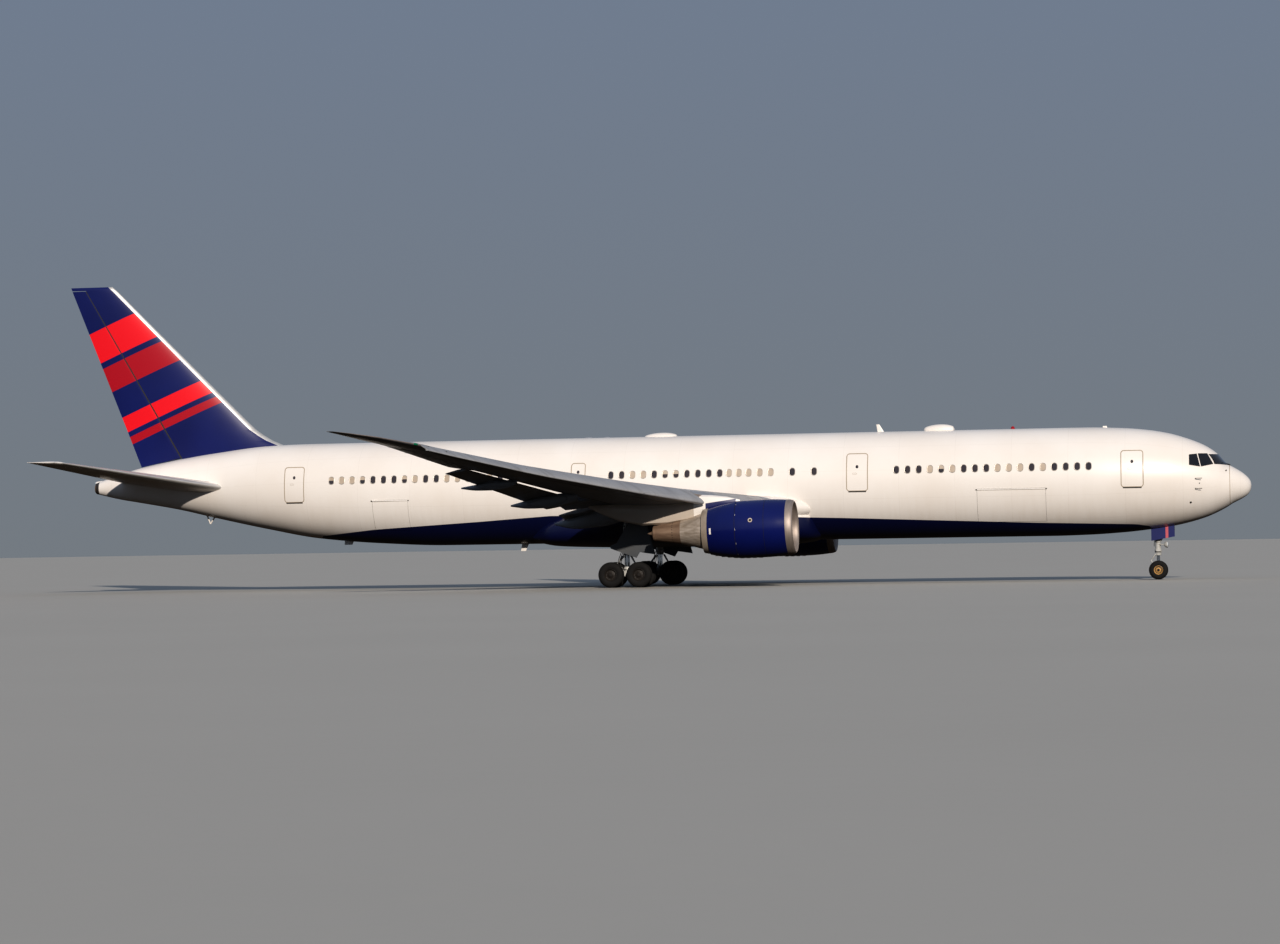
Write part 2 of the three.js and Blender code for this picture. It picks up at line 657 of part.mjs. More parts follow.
// Section of a slat: outer skin from below round the nose to the top, then the inner skin
const SLAT_OUTER = [
  [0.32, -1], [0.14, -1], [0.04, -1], [0, 0], [0.04, 1], [0.14, 1], [0.38, 1], [0.7, 1], [1, 1],
];
const SLAT_INNER = [[0.98, 0.93], [0.55, 0.6], [0.3, 0.28], [0.2, -0.2], [0.3, -0.8]];
function slatOutline(slat) {
  return (section) => {
    const chord = slatChordAt(slat, section.span);
    const hinge = [chord, halfThickness(section, chord)];
    return [...SLAT_OUTER, ...SLAT_INNER].map(([x, y]) => {
      const [dx, dz] = [x * chord - hinge[0], y * halfThickness(section, x * chord) - hinge[1]];
      return [
        hinge[0] + dx * Math.cos(SLAT_DROOP) + dz * Math.sin(SLAT_DROOP) - SLAT_FORWARD * chord,
        hinge[1] + dz * Math.cos(SLAT_DROOP) + dx * Math.sin(SLAT_DROOP) - SLAT_DOWN * hinge[1],
      ];
    });
  };
}

// Space behind the rear spar and under the spoilers, where the flaps lie
function flapBay(section) {
  const { chord } = section;
  const top = (x) => halfThickness(section, x * chord);
  return [
    [REAR_SPAR * chord, -2],
    [REAR_SPAR * chord, 0.2 * top(REAR_SPAR)],
    [(REAR_SPAR + 0.04) * chord, top(REAR_SPAR + 0.04) - 0.07],
    [SPOILER_END * chord, top(SPOILER_END) - 0.035],
    [SPOILER_END * chord, 2],
    [1.2 * chord, 2],
    [1.2 * chord, -2],
  ];
}

const FLAP_STEPS = [[0, 0], [0.03, 0.5], [0.15, 0.95], [0.35, 1], [0.7, 0.55], [1, 0.06]];
function flapSolid([, inner, outer], place) {
  return loft(
    [inner, outer].map(([side, nose, noseHeight, tail, tailHeight]) => {
      const chord = Math.hypot(tail - nose, tailHeight - noseHeight);
      const [dx, dz] = [(tail - nose) / chord, (tailHeight - noseHeight) / chord];
      const outline = [
        ...FLAP_STEPS.map(([x, y]) => [x, y]),
        ...FLAP_STEPS.slice(1).reverse().map(([x, y]) => [x, -0.8 * y]),
      ];
      return outline.map(([x, y]) => {
        const up = 0.5 * FLAP_THICKNESS * chord * y;
        return place(
          nose + dx * x * chord - dz * up, noseHeight + dz * x * chord + dx * up, side,
        );
      });
    }),
  );
}

for (const [sideName, side] of [["right", -1], ["left", 1]]) {
  const place = wingPlace(side);
  const name = (piece) => sideName + "_" + piece;
  const wingRows = WING.map((row) => sectionAt(WING, row[0]));
  const wingGrown = surfaceSolid(wingRows, (s) => cleanOutline(s, FIT), place);
  let wing = surfaceSolid(wingRows, cleanOutline, place);
  for (const slat of SLATS) {
    const [, from, to] = slat;
    wing = wing.subtract(surfaceSolid(sectionsBetween(WING, from, to), slatBay(slat), place));
  }
  for (const [, inner, outer] of FLAPS) {
    const sections = sectionsBetween(WING, inner[0] - 0.03, outer[0] + 0.03);
    wing = wing.subtract(surfaceSolid(sections, flapBay, place));
  }

  // Ailerons
  for (const [piece, from, to, hinge, droop, endGaps] of AILERONS) {
    const aileron = controlSurface(WING, from, to, hinge, place, endGaps, droop);
    const spans = [THREE.MathUtils.lerp(from, to, 0.2), THREE.MathUtils.lerp(from, to, 0.8)];
    const { brackets, slots } = hingeBrackets(aileron, spans);
    wing = wing.subtract(aileron.bay).add(brackets);
    addPiece(name(piece), aileron.piece.subtract(slots), "grey");
    hinges[name(piece)] = spans.map((span) => aileron.pointAt(span));
  }

  // Track fairings carry the flaps
  const fairings = (grow) =>
    TRACK_FAIRINGS.map(([trackSide, ...rows]) =>
      ovalBody(rows, { sides: 8, power: 2.3, side: side * trackSide, grow }),
    );
  wing = wing.add(union(fairings(0)));
  for (const flap of FLAPS) {
    const flapPiece = flapSolid(flap, place).subtract(union(fairings(FIT)));
    addPiece(name(flap[0]), largestPiece(flapPiece), "grey");
  }

  // Slats on their tracks
  for (const slat of SLATS) {
    const [piece, from, to, , , trackSides] = slat;
    const sections = sectionsBetween(WING, from + 0.03, to - 0.03);
    const tracks = (grow) =>
      union(
        trackSides.map((trackSide) => {
          const section = sectionAt(WING, trackSide);
          const chord = slatChordAt(slat, trackSide);
          const outline = [
            [0.9 * chord, -0.06 - grow], [0.9 * chord, 0.05 + grow],
            [-0.2 * chord - grow, -0.13 * chord + 0.03 + grow],
            [-0.2 * chord - grow, -0.13 * chord - 0.04 - grow],
          ];
          return surfaceSolid(
            [trackSide - 0.03 - grow, trackSide + 0.03 + grow].map((span) => ({ ...section, span })),
            () => outline, place,
          );
        }),
      );
    wing = wing.add(tracks(0));
    const slatPiece = surfaceSolid(sections, slatOutline(slat), place).subtract(tracks(FIT));
    addPiece(name(piece), largestPiece(slatPiece), "grey");
  }

  // Jack pad under the wing
  wing = wing.add(
    rod(at(WING_JACK.station, side * WING_JACK.side, -0.9),
      at(WING_JACK.station, side * WING_JACK.side, WING_JACK.bottom), WING_JACK.radius),
  );
  wing = largestPiece(wing.subtract(fairingBody(FIT)).subtract(centreBody));
  addPiece(name("wing"), wing, "grey");

  // Engine
  const engineFrame = new THREE.Matrix4()
    .makeTranslation(at(ENGINE_LIP.station, side * ENGINE_SIDE, ENGINE_LIP.height))
    .multiply(new THREE.Matrix4().makeRotationY(-ENGINE_TILT));
  const turned = (profile, grow = 0, segments = ENGINE_SEGMENTS) => {
    const points = profile.map(
      ([aft, radius]) => new THREE.Vector2(Math.max(radius + (radius > 0 ? grow : 0), 0) * MM, -aft * MM),
    );
    const geometry = new THREE.LatheGeometry(points, segments);
    geometry.rotateZ(-Math.PI / 2);
    return solidOf(geometry.applyMatrix4(engineFrame));
  };
  const closed = (profile) => [...profile, profile[0]];
  const axisPoint = (aft) => new THREE.Vector3(-aft * MM, 0, 0).applyMatrix4(engineFrame);
  const cowlFront = COWL_PROFILE[0][0];
  const cowl = COWL_PROFILE.map(([aft, r]) => [aft === cowlFront ? aft + FIT : aft, r]);
  addPiece(name("inlet_lip"), turned(closed(LIP_PROFILE)), "metal");
  const nacelle = turned(closed(cowl));
  const core = turned(CORE_PROFILE).add(rod(axisPoint(1.7), axisPoint(1.35), FAN_SHAFT));

  // Fan
  const spinner = [[FAN.nose, 0], [0.78, 0.1], [1.1, 0.27], [1.5, FAN.hub], [FAN.back, FAN.hub],
    [FAN.back, 0]];
  const bladeLevels = [[0.2, 0.34, 32, 0.05], [FAN.tip, 0.42, 63, 0.018]];
  const blades = Array.from({ length: FAN.blades }, (_, i) => {
    const rings = bladeLevels.map(([radius, chord, pitchDegrees, thick]) => {
      const pitch = THREE.MathUtils.degToRad(pitchDegrees);
      const along = [Math.cos(pitch), Math.sin(pitch)];
      const middle = (FAN.front + FAN.back) / 2 - 0.01;
      return [[-0.5, 0], [0, 0.5], [0.5, 0], [0, -0.5]].map(([c, t]) => {
        const aft = middle + c * chord * along[0] - t * thick * along[1];
        const lateral = c * chord * along[1] + t * thick * along[0];
        const height = Math.sqrt(radius ** 2 - lateral ** 2);
        return new THREE.Vector3(-aft * MM, lateral * MM, height * MM);
      });
    });
    const turn = new THREE.Matrix4().makeRotationX((2 * Math.PI * (i + 0.35)) / FAN.blades);
    return loft(rings.map((ring) => ring.map((p) => p.applyMatrix4(turn).applyMatrix4(engineFrame))));
  });
  const fan = union([turned(spinner, 0, ROD_SIDES), ...blades]).subtract(
    rod(axisPoint(1.75), axisPoint(1.35 - FIT), boreRadius(FAN_SHAFT)),
  );
  addPiece(name("fan"), fan, "titanium");
  addPiece(name("nacelle"), nacelle, "navy");
  addPiece(name("engine_core"), core, "hotMetal");

  // Pylon
  const nozzleEnd = COWL_PROFILE[COWL_OUTSIDE][0] + FIT;
  const cowlGrown = turned(
    [[cowlFront, 0], ...COWL_PROFILE.slice(0, COWL_OUTSIDE), [nozzleEnd, 1.07], [nozzleEnd, 0]], FIT,
  );
  const coreGrown = turned(CORE_PROFILE, FIT);
  const pylonBody = ovalBody(PYLON, { sides: 10, power: 2.6, side: side * ENGINE_SIDE });
  const slatGrown = surfaceSolid(
    sectionsBetween(WING, SLATS[1][1] + 0.03, 9.5), slatOutline(SLATS[1]), place,
  );
  const pylon = pylonBody.subtract(wingGrown).subtract(cowlGrown).subtract(coreGrown)
    .subtract(slatGrown);
  addPiece(name("pylon"), largestPiece(pylon), "grey");

  // Main gear: leg with its braces, and the truck beam
  const wheelHeight = GROUND + MAIN_TYRE.radius;
  const legAt = (station, aside, height) => at(station, side * (GEAR_SIDE + aside), height);
  const legTop = -1.2;
  const axleRadius = 0.075;
  const pivotHeight = wheelHeight + 0.05; // of the truck on its leg
  const axles = [-1, 1].map((end) => TRUCK_STATION + (end * TRUCK_WHEELBASE) / 2);
  const parts = [
    rod(legAt(TRUCK_STATION, 0, -3.35), legAt(TRUCK_STATION, 0, legTop), 0.21),
    rod(legAt(TRUCK_STATION, 0, wheelHeight), legAt(TRUCK_STATION, 0, -3.2), 0.145),
    rod(legAt(TRUCK_STATION, -0.19, pivotHeight), legAt(TRUCK_STATION, 0.19, pivotHeight), 0.17),
    rod(legAt(axles[0] - 0.12, 0, wheelHeight), legAt(axles[1] + 0.12, 0, wheelHeight), 0.13),
    rod(legAt(TRUCK_STATION, -0.1, -2.95), legAt(TRUCK_STATION, -1.55, -1.9), 0.08, PIN_SIDES),
    rod(legAt(TRUCK_STATION - 0.1, 0, -3.0), legAt(TRUCK_STATION - 1.3, 0, -1.35), 0.08, PIN_SIDES),
    rod(legAt(TRUCK_STATION + 0.2, 0, -3.4), legAt(TRUCK_STATION + 0.52, 0, -3.8), 0.055, PIN_SIDES),
    rod(legAt(TRUCK_STATION + 0.52, 0, -3.78), legAt(TRUCK_STATION + 0.12, 0, -4.15), 0.055, PIN_SIDES),
    ...axles.map((station) =>
      rod(legAt(station, -0.17, wheelHeight), legAt(station, 0.17, wheelHeight), 0.15),
    ),
    ...[-2.0, -2.9].map((height) =>
      rod(legAt(TRUCK_STATION, 0, height), legAt(TRUCK_STATION, 0.9 - FIT, height), 0.05, PIN_SIDES),
    ),
  ];
  const bores = axles.map((station) =>
    rod(legAt(station, -0.4, wheelHeight), legAt(station, 0.4, wheelHeight), boreRadius(axleRadius)),
  );
  const leg = union(parts).subtract(wingGrown).subtract(fairingBody(FIT)).subtract(union(bores));
  addPiece(name("main_gear_leg"), largestPiece(leg), "gear");
  const legDoor = plate(
    [[30.5, -1.6], [29.5, -1.8], [29.08, -3.3], [30.1, -3.18], [30.2, -2.98], [30.75, -2.9],
      [30.85, -3.05], [31.38, -2.93]],
    side * (GEAR_SIDE + 0.9), side * (GEAR_SIDE + 0.95),
  );
  addPiece(name("main_gear_door"), largestPiece(legDoor.subtract(wingGrown)), "grey");
  ["front", "rear"].forEach((end, i) => {
    addPiece(
      name("main_wheels_" + end),
      wheelPair(MAIN_TYRE, axleRadius, at(axles[i], side * GEAR_SIDE, wheelHeight)),
      "tyre",
    );
  });
}

// A pair of wheels on one axle, turned as one profile about the axle
function wheelPair({ radius, width, spacing, rim }, axle, centre) {
  const segments = 16;
  const reach = radius / Math.cos(Math.PI / segments); // flats, not corners, touch the ground
  const halfTyre = [
    [-0.44, rim], [-0.5, 0.76 * reach], [-0.36, 0.96 * reach], [-0.2, reach],
    [0.2, reach], [0.36, 0.96 * reach], [0.5, 0.76 * reach], [0.44, rim],
  ];
  const wheel = (middle) => halfTyre.map(([x, r]) => [middle + x * width, r]);
  const [inner, outer] = [-spacing / 2, spacing / 2];
  const rimWidth = 0.3 * width;
  const profile = [
    [inner - rimWidth, 0], [inner - rimWidth, 0.97 * rim],
    ...wheel(inner),
    [inner + rimWidth, 0.97 * rim], [inner + rimWidth, axle],
    [outer - rimWidth, axle], [outer - rimWidth, 0.97 * rim],
    ...wheel(outer),
    [outer + rimWidth, 0.97 * rim], [outer + rimWidth, 0],
  ];
  const points = profile.map(([x, r]) => new THREE.Vector2(r * MM, x * MM));
  const geometry = new THREE.LatheGeometry(points, segments);
  geometry.rotateY(Math.PI / segments);
  return solidOf(geometry.translate(centre.x, centre.y, centre.z));
}

// Nose gear: fixed leg, steered part, wheels and doors
const noseWheelHeight = GROUND + NOSE_TYRE.radius;
const noseAt = (aft, side, height) => at(NOSE_GEAR_STATION + aft, side, height);
const noseAxle = 0.055;
const noseLegBottom = -3.62;
const steerPin = 0.085;
const noseLeg = union([
  rod(noseAt(0, 0, noseLegBottom), noseAt(0, 0, NOSE_BAY.top - FIT), 0.14),
  rod(noseAt(0, 0, noseLegBottom), noseAt(0, 0, -3.42), 0.18),
  rod(noseAt(0, 0, -3.05), noseAt(-0.75, 0, NOSE_BAY.top - 0.08), 0.065, PIN_SIDES),
]).subtract(
  rod(noseAt(0, 0, noseLegBottom - 0.1), noseAt(0, 0, -3.3), boreRadius(steerPin)),
);
addPiece("nose_gear_leg", noseLeg, "gear");
const TOW_LUG = { front: -0.2, height: -4.2 };
const noseSteer = union([
  rod(noseAt(0, 0, noseWheelHeight), noseAt(0, 0, -3.3 - FIT), steerPin),
  rod(noseAt(0, 0, noseLegBottom - 0.12), noseAt(0, 0, noseLegBottom - CLEAR), 0.16),
  rod(noseAt(0, -0.125, noseWheelHeight), noseAt(0, 0.125, noseWheelHeight), 0.11),
  rod(noseAt(0.12, 0, noseLegBottom - 0.08), noseAt(0.36, 0, -4.02), 0.04, PIN_SIDES),
  rod(noseAt(0.36, 0, -4.0), noseAt(0.05, 0, noseWheelHeight + 0.05), 0.04, PIN_SIDES),
  box([NOSE_GEAR_STATION + TOW_LUG.front, NOSE_GEAR_STATION], [-0.05, 0.05],
    [TOW_LUG.height - 0.05, TOW_LUG.height + 0.05]),
]).subtract(
  rod(noseAt(0, -0.3, noseWheelHeight), noseAt(0, 0.3, noseWheelHeight), boreRadius(noseAxle)),
);
addPiece("nose_gear_steering", noseSteer, "gear");
addPiece("nose_wheels", wheelPair(NOSE_TYRE, noseAxle, noseAt(0, 0, noseWheelHeight)), "tyre");
for (const [sideName, side] of [["right", -1], ["left", 1]]) {
  const outer = side * (NOSE_BAY.halfWidth - FIT);
  addPiece(
    sideName + "_nose_gear_door",
    plate([[3.8, -2.0], [4.94, -2.1], [4.94, -3.02], [3.8, -2.82]], outer - side * 0.035, outer),
    "navy",
  );
}

// Tail
const tailBody = fuselageBody(FUSELAGE_PIECES[5][1], FIT);
const tailClear = fuselageBody(FUSELAGE_PIECES[5][1], 3 * CLEAR);
const rudder = controlSurface(
  FIN, RUDDER.bottom, RUDDER.top, RUDDER.hinge, finPlace, RUDDER.endGaps,
);
const rudderHinges = [4.2, 9.3];
const rudderBrackets = hingeBrackets(rudder, rudderHinges);
const dorsal = loft(
  DORSAL.map(([height, front, halfWidth]) => [
    at(front, 0, height), at(DORSAL_BACK, halfWidth, height), at(DORSAL_BACK, -halfWidth, height),
  ]),
);
const fin = surfaceSolid(FIN.map((row) => sectionAt(FIN, row[0])), cleanOutline, finPlace)
  .subtract(rudder.bay)
  .add(dorsal)
  .add(rudderBrackets.brackets)
  .subtract(tailBody);
addPiece("fin", largestPiece(fin), "navy");
const footNormal = rudder.axis.toArray(); // the foot is cut square to the hinge
const rudderSolid = rudder.piece
  .trimByPlane(footNormal, rudder.axis.dot(rudder.pointAt(RUDDER.foot)))
  .subtract(rudderBrackets.slots)
  .subtract(tailClear);
addPiece("rudder", largestPiece(rudderSolid), "navy");
hinges.rudder = rudderHinges.map((span) => rudder.pointAt(span));

for (const [sideName, side] of [["right", -1], ["left", 1]]) {
  const place = wingPlace(side);
  const elevator = controlSurface(
    STABILIZER, ELEVATOR.inner, ELEVATOR.outer, ELEVATOR.hinge, place, ELEVATOR.endGaps,
  );
  const spans = [2.9, 7.6];
  const { brackets, slots } = hingeBrackets(elevator, spans);
  const stabilizer = surfaceSolid(STABILIZER.map((row) => sectionAt(STABILIZER, row[0])), cleanOutline, place)
    .subtract(elevator.bay)
    .add(brackets)
    .subtract(tailBody);
  addPiece(sideName + "_stabilizer", largestPiece(stabilizer), "white");
  addPiece(sideName + "_elevator", elevator.piece.subtract(slots), "white");
  hinges[sideName + "_elevator"] = spans.map((span) => elevator.pointAt(span));
}

airliner.userData.hinges = hinges;

export default airliner;
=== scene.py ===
import bmesh
import bpy
from math import asin, copysign, cos, hypot, pi, radians, sin, sqrt
from mathutils import Matrix, Vector


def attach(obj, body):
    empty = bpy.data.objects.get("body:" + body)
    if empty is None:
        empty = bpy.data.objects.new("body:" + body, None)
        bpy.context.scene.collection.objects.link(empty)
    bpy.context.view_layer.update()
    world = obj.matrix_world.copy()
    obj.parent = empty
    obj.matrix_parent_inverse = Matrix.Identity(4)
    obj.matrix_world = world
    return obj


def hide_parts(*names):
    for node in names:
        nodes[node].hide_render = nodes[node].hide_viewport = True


# A wide body airliner as a scale model at 1:2, parked on its gear and seen from its right side.
# Stations are full-size metres aft of the nose tip, sides are metres left of the middle,
# heights are metres above the middle of the fuselage.

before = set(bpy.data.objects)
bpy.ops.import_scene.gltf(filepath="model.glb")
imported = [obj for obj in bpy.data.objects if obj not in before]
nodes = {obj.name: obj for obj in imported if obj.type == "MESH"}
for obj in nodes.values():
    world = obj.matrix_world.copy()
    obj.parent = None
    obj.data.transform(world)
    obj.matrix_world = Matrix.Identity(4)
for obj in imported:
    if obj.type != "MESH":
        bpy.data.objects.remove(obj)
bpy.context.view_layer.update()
model = {"scale": 0.5, "length": 61.37, "middle": 30.685, "ground": -4.95}
print("frame loaded with", len(nodes), "nodes")


# Small helpers for places, colours, nodes and meshes

def at(station, side, height):
    k = model["scale"]
    return Vector(((model["middle"] - station) * k, side * k, (height - model["ground"]) * k))


def linear(hexColour):
    channels = [int(hexColour[i:i + 2], 16) / 255 for i in (1, 3, 5)]
    return tuple(c / 12.92 if c <= 0.04045 else ((c + 0.055) / 1.055) ** 2.4 for c in channels) + (1.0,)


# One node with its settings and links; gives back one of its output sockets
def addNode(tree, kind, inputs=None, output=0, **settings):
    node = tree.nodes.new(kind)
    for name, value in settings.items():
        setattr(node, name, value)
    for name, value in (inputs or {}).items():
        socket = node.inputs[name]
        if isinstance(value, bpy.types.NodeSocket):
            tree.links.new(value, socket)
        else:
            socket.default_value = value
    return node.outputs[output] if node.outputs else node


# A table row at any place, smooth between the rows
def rowAt(rows, x, measure=float):
    keys = [measure(row[0]) for row in rows]
    last = len(rows) - 1
    key = min(max(measure(x), keys[0]), keys[last])
    i = next((n for n in range(1, last) if keys[n] > key), last)
    step = keys[i] - keys[i - 1]
    t = (key - keys[i - 1]) / step

    def rise(n, column):
        return (rows[n][column] - rows[n - 1][column]) / (keys[n] - keys[n - 1])

    def slope(n, column):
        if n == 0 or n == last:
            return rise(max(n, 1), column)
        before, after = rise(n, column), rise(n + 1, column)
        return 0 if before * after <= 0 else 2 * before * after / (before + after)

    result = [x]
    for column in range(1, len(rows[0])):
        a, b = rows[i - 1][column], rows[i][column]
        m0, m1 = slope(i - 1, column) * step, slope(i, column) * step
        value = (2 * t ** 3 - 3 * t ** 2 + 1) * a + (t ** 3 - 2 * t ** 2 + t) * m0
        result.append(value + (3 * t ** 2 - 2 * t ** 3) * b + (t ** 3 - t ** 2) * m1)
    return result


def steps(start, end, count):
    return [start + (end - start) * i / count for i in range(count + 1)]


def newSoup():
    return {"points": [], "faces": [], "finish": []}


# Faces through rows of points; wrap joins the last column to the first, caps close both ends
def addGrid(soup, rows, finish=0, wrap=False, caps=False):
    base, count = len(soup["points"]), len(rows[0])
    for row in rows:
        soup["points"].extend(row)
    for r in range(len(rows) - 1):
        for i in range(count if wrap else count - 1):
            a, j = base + r * count, (i + 1) % count
            soup["faces"].append((a + i, a + j, a + count + j, a + count + i))
            soup["finish"].append(finish[i] if isinstance(finish, list) else finish)
    lastRow = base + (len(rows) - 1) * count
    if caps:
        for ring in (range(base + count - 1, base - 1, -1), range(lastRow, lastRow + count)):
            soup["faces"].append(tuple(ring))
            soup["finish"].append(finish[0] if isinstance(finish, list) else finish)


# A ring about a centre in the plane of two directions
def ringAt(centre, across, up, radius, segments, turn=0.0):
    angles = [turn + 2 * pi * i / segments for i in range(segments)]
    return [centre + radius * (cos(a) * across + sin(a) * up) for a in angles]


def crossAxes(along):
    helper = Vector((0, 0, 1)) if abs(along.z) < 0.9 else Vector((1, 0, 0))
    across = along.cross(helper).normalized()
    return across, across.cross(along).normalized()


# A round bar; profile gives pairs of distance and radius, in full-size metres
def addTurned(soup, start, end, profile, segments=20, finish=0):
    along = (end - start).normalized()
    across, up = crossAxes(along)
    k = model["scale"]
    rows = [ringAt(start + along * d * k, across, up, max(r, 0.0004) * k, segments) for d, r in profile]
    addGrid(soup, rows, finish, wrap=True, caps=True)


def addBar(soup, start, end, radius, endRadius=None, segments=20, finish=0, bevel=0.012):
    length = (end - start).length / model["scale"]
    last = radius if endRadius is None else endRadius
    edge = min(bevel, radius * 0.4, last * 0.4, length * 0.3)
    profile = [(0, radius - edge), (edge, radius), (length - edge, last), (length, last - edge)]
    addTurned(soup, start, end, profile, segments, finish)


# A tube along a path of points, radius in full-size metres
def addTube(soup, path, radius, segments=10, finish=0):
    rows = []
    across, up = crossAxes((path[1] - path[0]).normalized())
    for i, point in enumerate(path):
        along = (path[min(i + 1, len(path) - 1)] - path[max(i - 1, 0)]).normalized()
        across = (across - along * across.dot(along)).normalized()
        up = across.cross(along)
        rows.append(ringAt(point, across, up, radius * model["scale"], segments))
    addGrid(soup, rows, finish, wrap=True, caps=True)


# A path of points that passes smoothly through the given ones
def smoothPath(points, count=6):
    padded = [points[0] * 2 - points[1], *points, points[-1] * 2 - points[-2]]
    path = []
    for a, b, c, d in zip(padded, padded[1:], padded[2:], padded[3:]):
        for t in steps(0, 1, count)[:-1]:
            path.append(0.5 * (2 * b + (c - a) * t + (2 * a - 5 * b + 4 * c - d) * t ** 2
                               + (3 * b - a - 3 * c + d) * t ** 3))
    return path + [points[-1]]


# A block with eased edges: its middle, its three half sizes and its three directions
def addBlock(soup, middle, half, axes=None, ease=0.01, finish=0):
    axes = axes or (Vector((1, 0, 0)), Vector((0, 1, 0)), Vector((0, 0, 1)))
    k = model["scale"]
    ease = min(ease, 0.45 * min(half))

    def corner(x, y, z):
        return middle + k * (x * axes[0] + y * axes[1] + z * axes[2])

    def outline(x, shrink):
        a, b = half[1] - shrink, half[2] - shrink
        pairs = [(a, ease - b), (a, b - ease), (a - ease, b), (ease - a, b),
                 (-a, b - ease), (-a, ease - b), (ease - a, -b), (a - ease, -b)]
        return [corner(x, y, z) for y, z in pairs]

    rows = [outline(-half[0], ease), outline(ease - half[0], 0), outline(half[0] - ease, 0),
            outline(half[0], ease)]
    addGrid(soup, rows, finish, wrap=True, caps=True)


def addObject(name, data):
    made = bpy.data.objects.new(name, data)
    bpy.context.scene.collection.objects.link(made)
    return made


def meshFrom(name, soup, finishNames):
    mesh = bpy.data.meshes.new(name)
    mesh.from_pydata([tuple(p) for p in soup["points"]], [], soup["faces"])
    for finish in finishNames:
        mesh.materials.append(finishes[finish])
    return mesh


# A finished piece from a soup. An open one, such as a decal or seam, faces the way that openFrom gives.
def makePiece(name, soup, finishNames, body="airframe", replaces=(), sharp=35, openFrom=None):
    mesh = meshFrom(name, soup, finishNames)
    mesh.polygons.foreach_set("material_index", soup["finish"])
    work = bmesh.new()
    work.from_mesh(mesh)
    bmesh.ops.remove_doubles(work, verts=work.verts, dist=0.00002)
    bmesh.ops.dissolve_degenerate(work, edges=work.edges, dist=0.00001)
    if openFrom is None:
        bmesh.ops.recalc_face_normals(work, faces=work.faces)
    else:
        turned = [f for f in work.faces if f.normal.dot(openFrom(f.calc_center_median())) < 0]
        bmesh.ops.reverse_faces(work, faces=turned)
    work.to_mesh(mesh)
    work.free()
    piece = addObject(name, mesh)
    smoothShade(piece, sharp)
    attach(piece, body)
    if replaces:
        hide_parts(*replaces)
    return piece


def smoothShade(piece, sharp):
    piece.data.shade_smooth()
    piece.data.set_sharp_from_angle(angle=radians(sharp))


# Materials

# Texture coordinates in full-size metres: station, side and height
def placeSockets(tree):
    place = addNode(tree, "ShaderNodeTexCoord", output=3)
    split = addNode(tree, "ShaderNodeSeparateXYZ", {0: place}).node
    k = model["scale"]
    station = addNode(tree, "ShaderNodeMath", {0: split.outputs[0], 1: -1 / k, 2: model["middle"]},
                      operation="MULTIPLY_ADD")
    side = addNode(tree, "ShaderNodeMath", {0: split.outputs[1], 1: 1 / k}, operation="MULTIPLY")
    height = addNode(tree, "ShaderNodeMath", {0: split.outputs[2], 1: 1 / k, 2: model["ground"]},
                     operation="MULTIPLY_ADD")
    return place, station, side, height


# A finish with cloudy colour, grain in its roughness and a fine bump. look gives its facts.
def startFinish(name, look):
    material = bpy.data.materials.new(name)
    material.use_nodes = True
    tree = material.node_tree
    shader = tree.nodes["Principled BSDF"]
    shader.inputs["Metallic"].default_value = look.get("metallic", 0.0)
    for socket, value in look.get("sockets", {}).items():
        shader.inputs[socket].default_value = value
    place, station, side, height = placeSockets(tree)
    stretched = addNode(tree, "ShaderNodeVectorMath", {0: place, 1: look.get("stretch", (1, 1, 1))},
                        operation="MULTIPLY")
    cloud = addNode(tree, "ShaderNodeTexNoise", {"Vector": stretched, "Scale": 1 / look["cloud"], "Detail": 5.0})
    cloudy = addNode(tree, "ShaderNodeMapRange", {"Value": cloud, "From Min": 0.35, "From Max": 0.7})
    colour = addNode(tree, "ShaderNodeMix", {0: cloudy, 6: linear(look["colour"]), 7: linear(look["other"])},
                     output=2, data_type="RGBA")
    grain = addNode(tree, "ShaderNodeTexNoise", {"Vector": stretched, "Scale": 1 / look["grain"], "Detail": 3.0})
    low, high = look["roughness"]
    rough = addNode(tree, "ShaderNodeMapRange", {"Value": grain, "From Min": 0.3, "From Max": 0.7,
                                                 "To Min": low, "To Max": high})
    bump = addNode(tree, "ShaderNodeBump", {"Height": grain, "Strength": 0.35, "Distance": look["bump"]})
    tree.links.new(colour, shader.inputs["Base Color"])
    tree.links.new(rough, shader.inputs["Roughness"])
    tree.links.new(bump, shader.inputs["Normal"])
    return {"material": material, "tree": tree, "shader": shader, "colour": colour, "place": place,
            "station": station, "side": side, "height": height, "cloud": cloud}


def paintOver(finish, mask, colour):
    tree = finish["tree"]
    finish["colour"] = addNode(tree, "ShaderNodeMix", {0: mask, 6: finish["colour"], 7: colour}, output=2,
                               data_type="RGBA")
    tree.links.new(finish["colour"], finish["shader"].inputs["Base Color"])


# A mask that is 1 where a value is over a limit, with a soft edge
def maskOver(tree, value, limit, soft=0.008):
    gap = addNode(tree, "ShaderNodeMath", {0: value, 1: limit}, operation="SUBTRACT")
    return addNode(tree, "ShaderNodeMapRange", {"Value": gap, "From Min": -soft, "From Max": soft})


# Thin lines that repeat with a pitch along a value
def maskLines(tree, value, pitch, width, shift=0.0):
    turns = addNode(tree, "ShaderNodeMath", {0: value, 1: 1 / pitch, 2: shift}, operation="MULTIPLY_ADD")
    part = addNode(tree, "ShaderNodeMath", {0: turns}, operation="FRACT")
    return addNode(tree, "ShaderNodeMath", {0: part, 1: 0.5, 2: 0.5 * width / pitch}, operation="COMPARE")


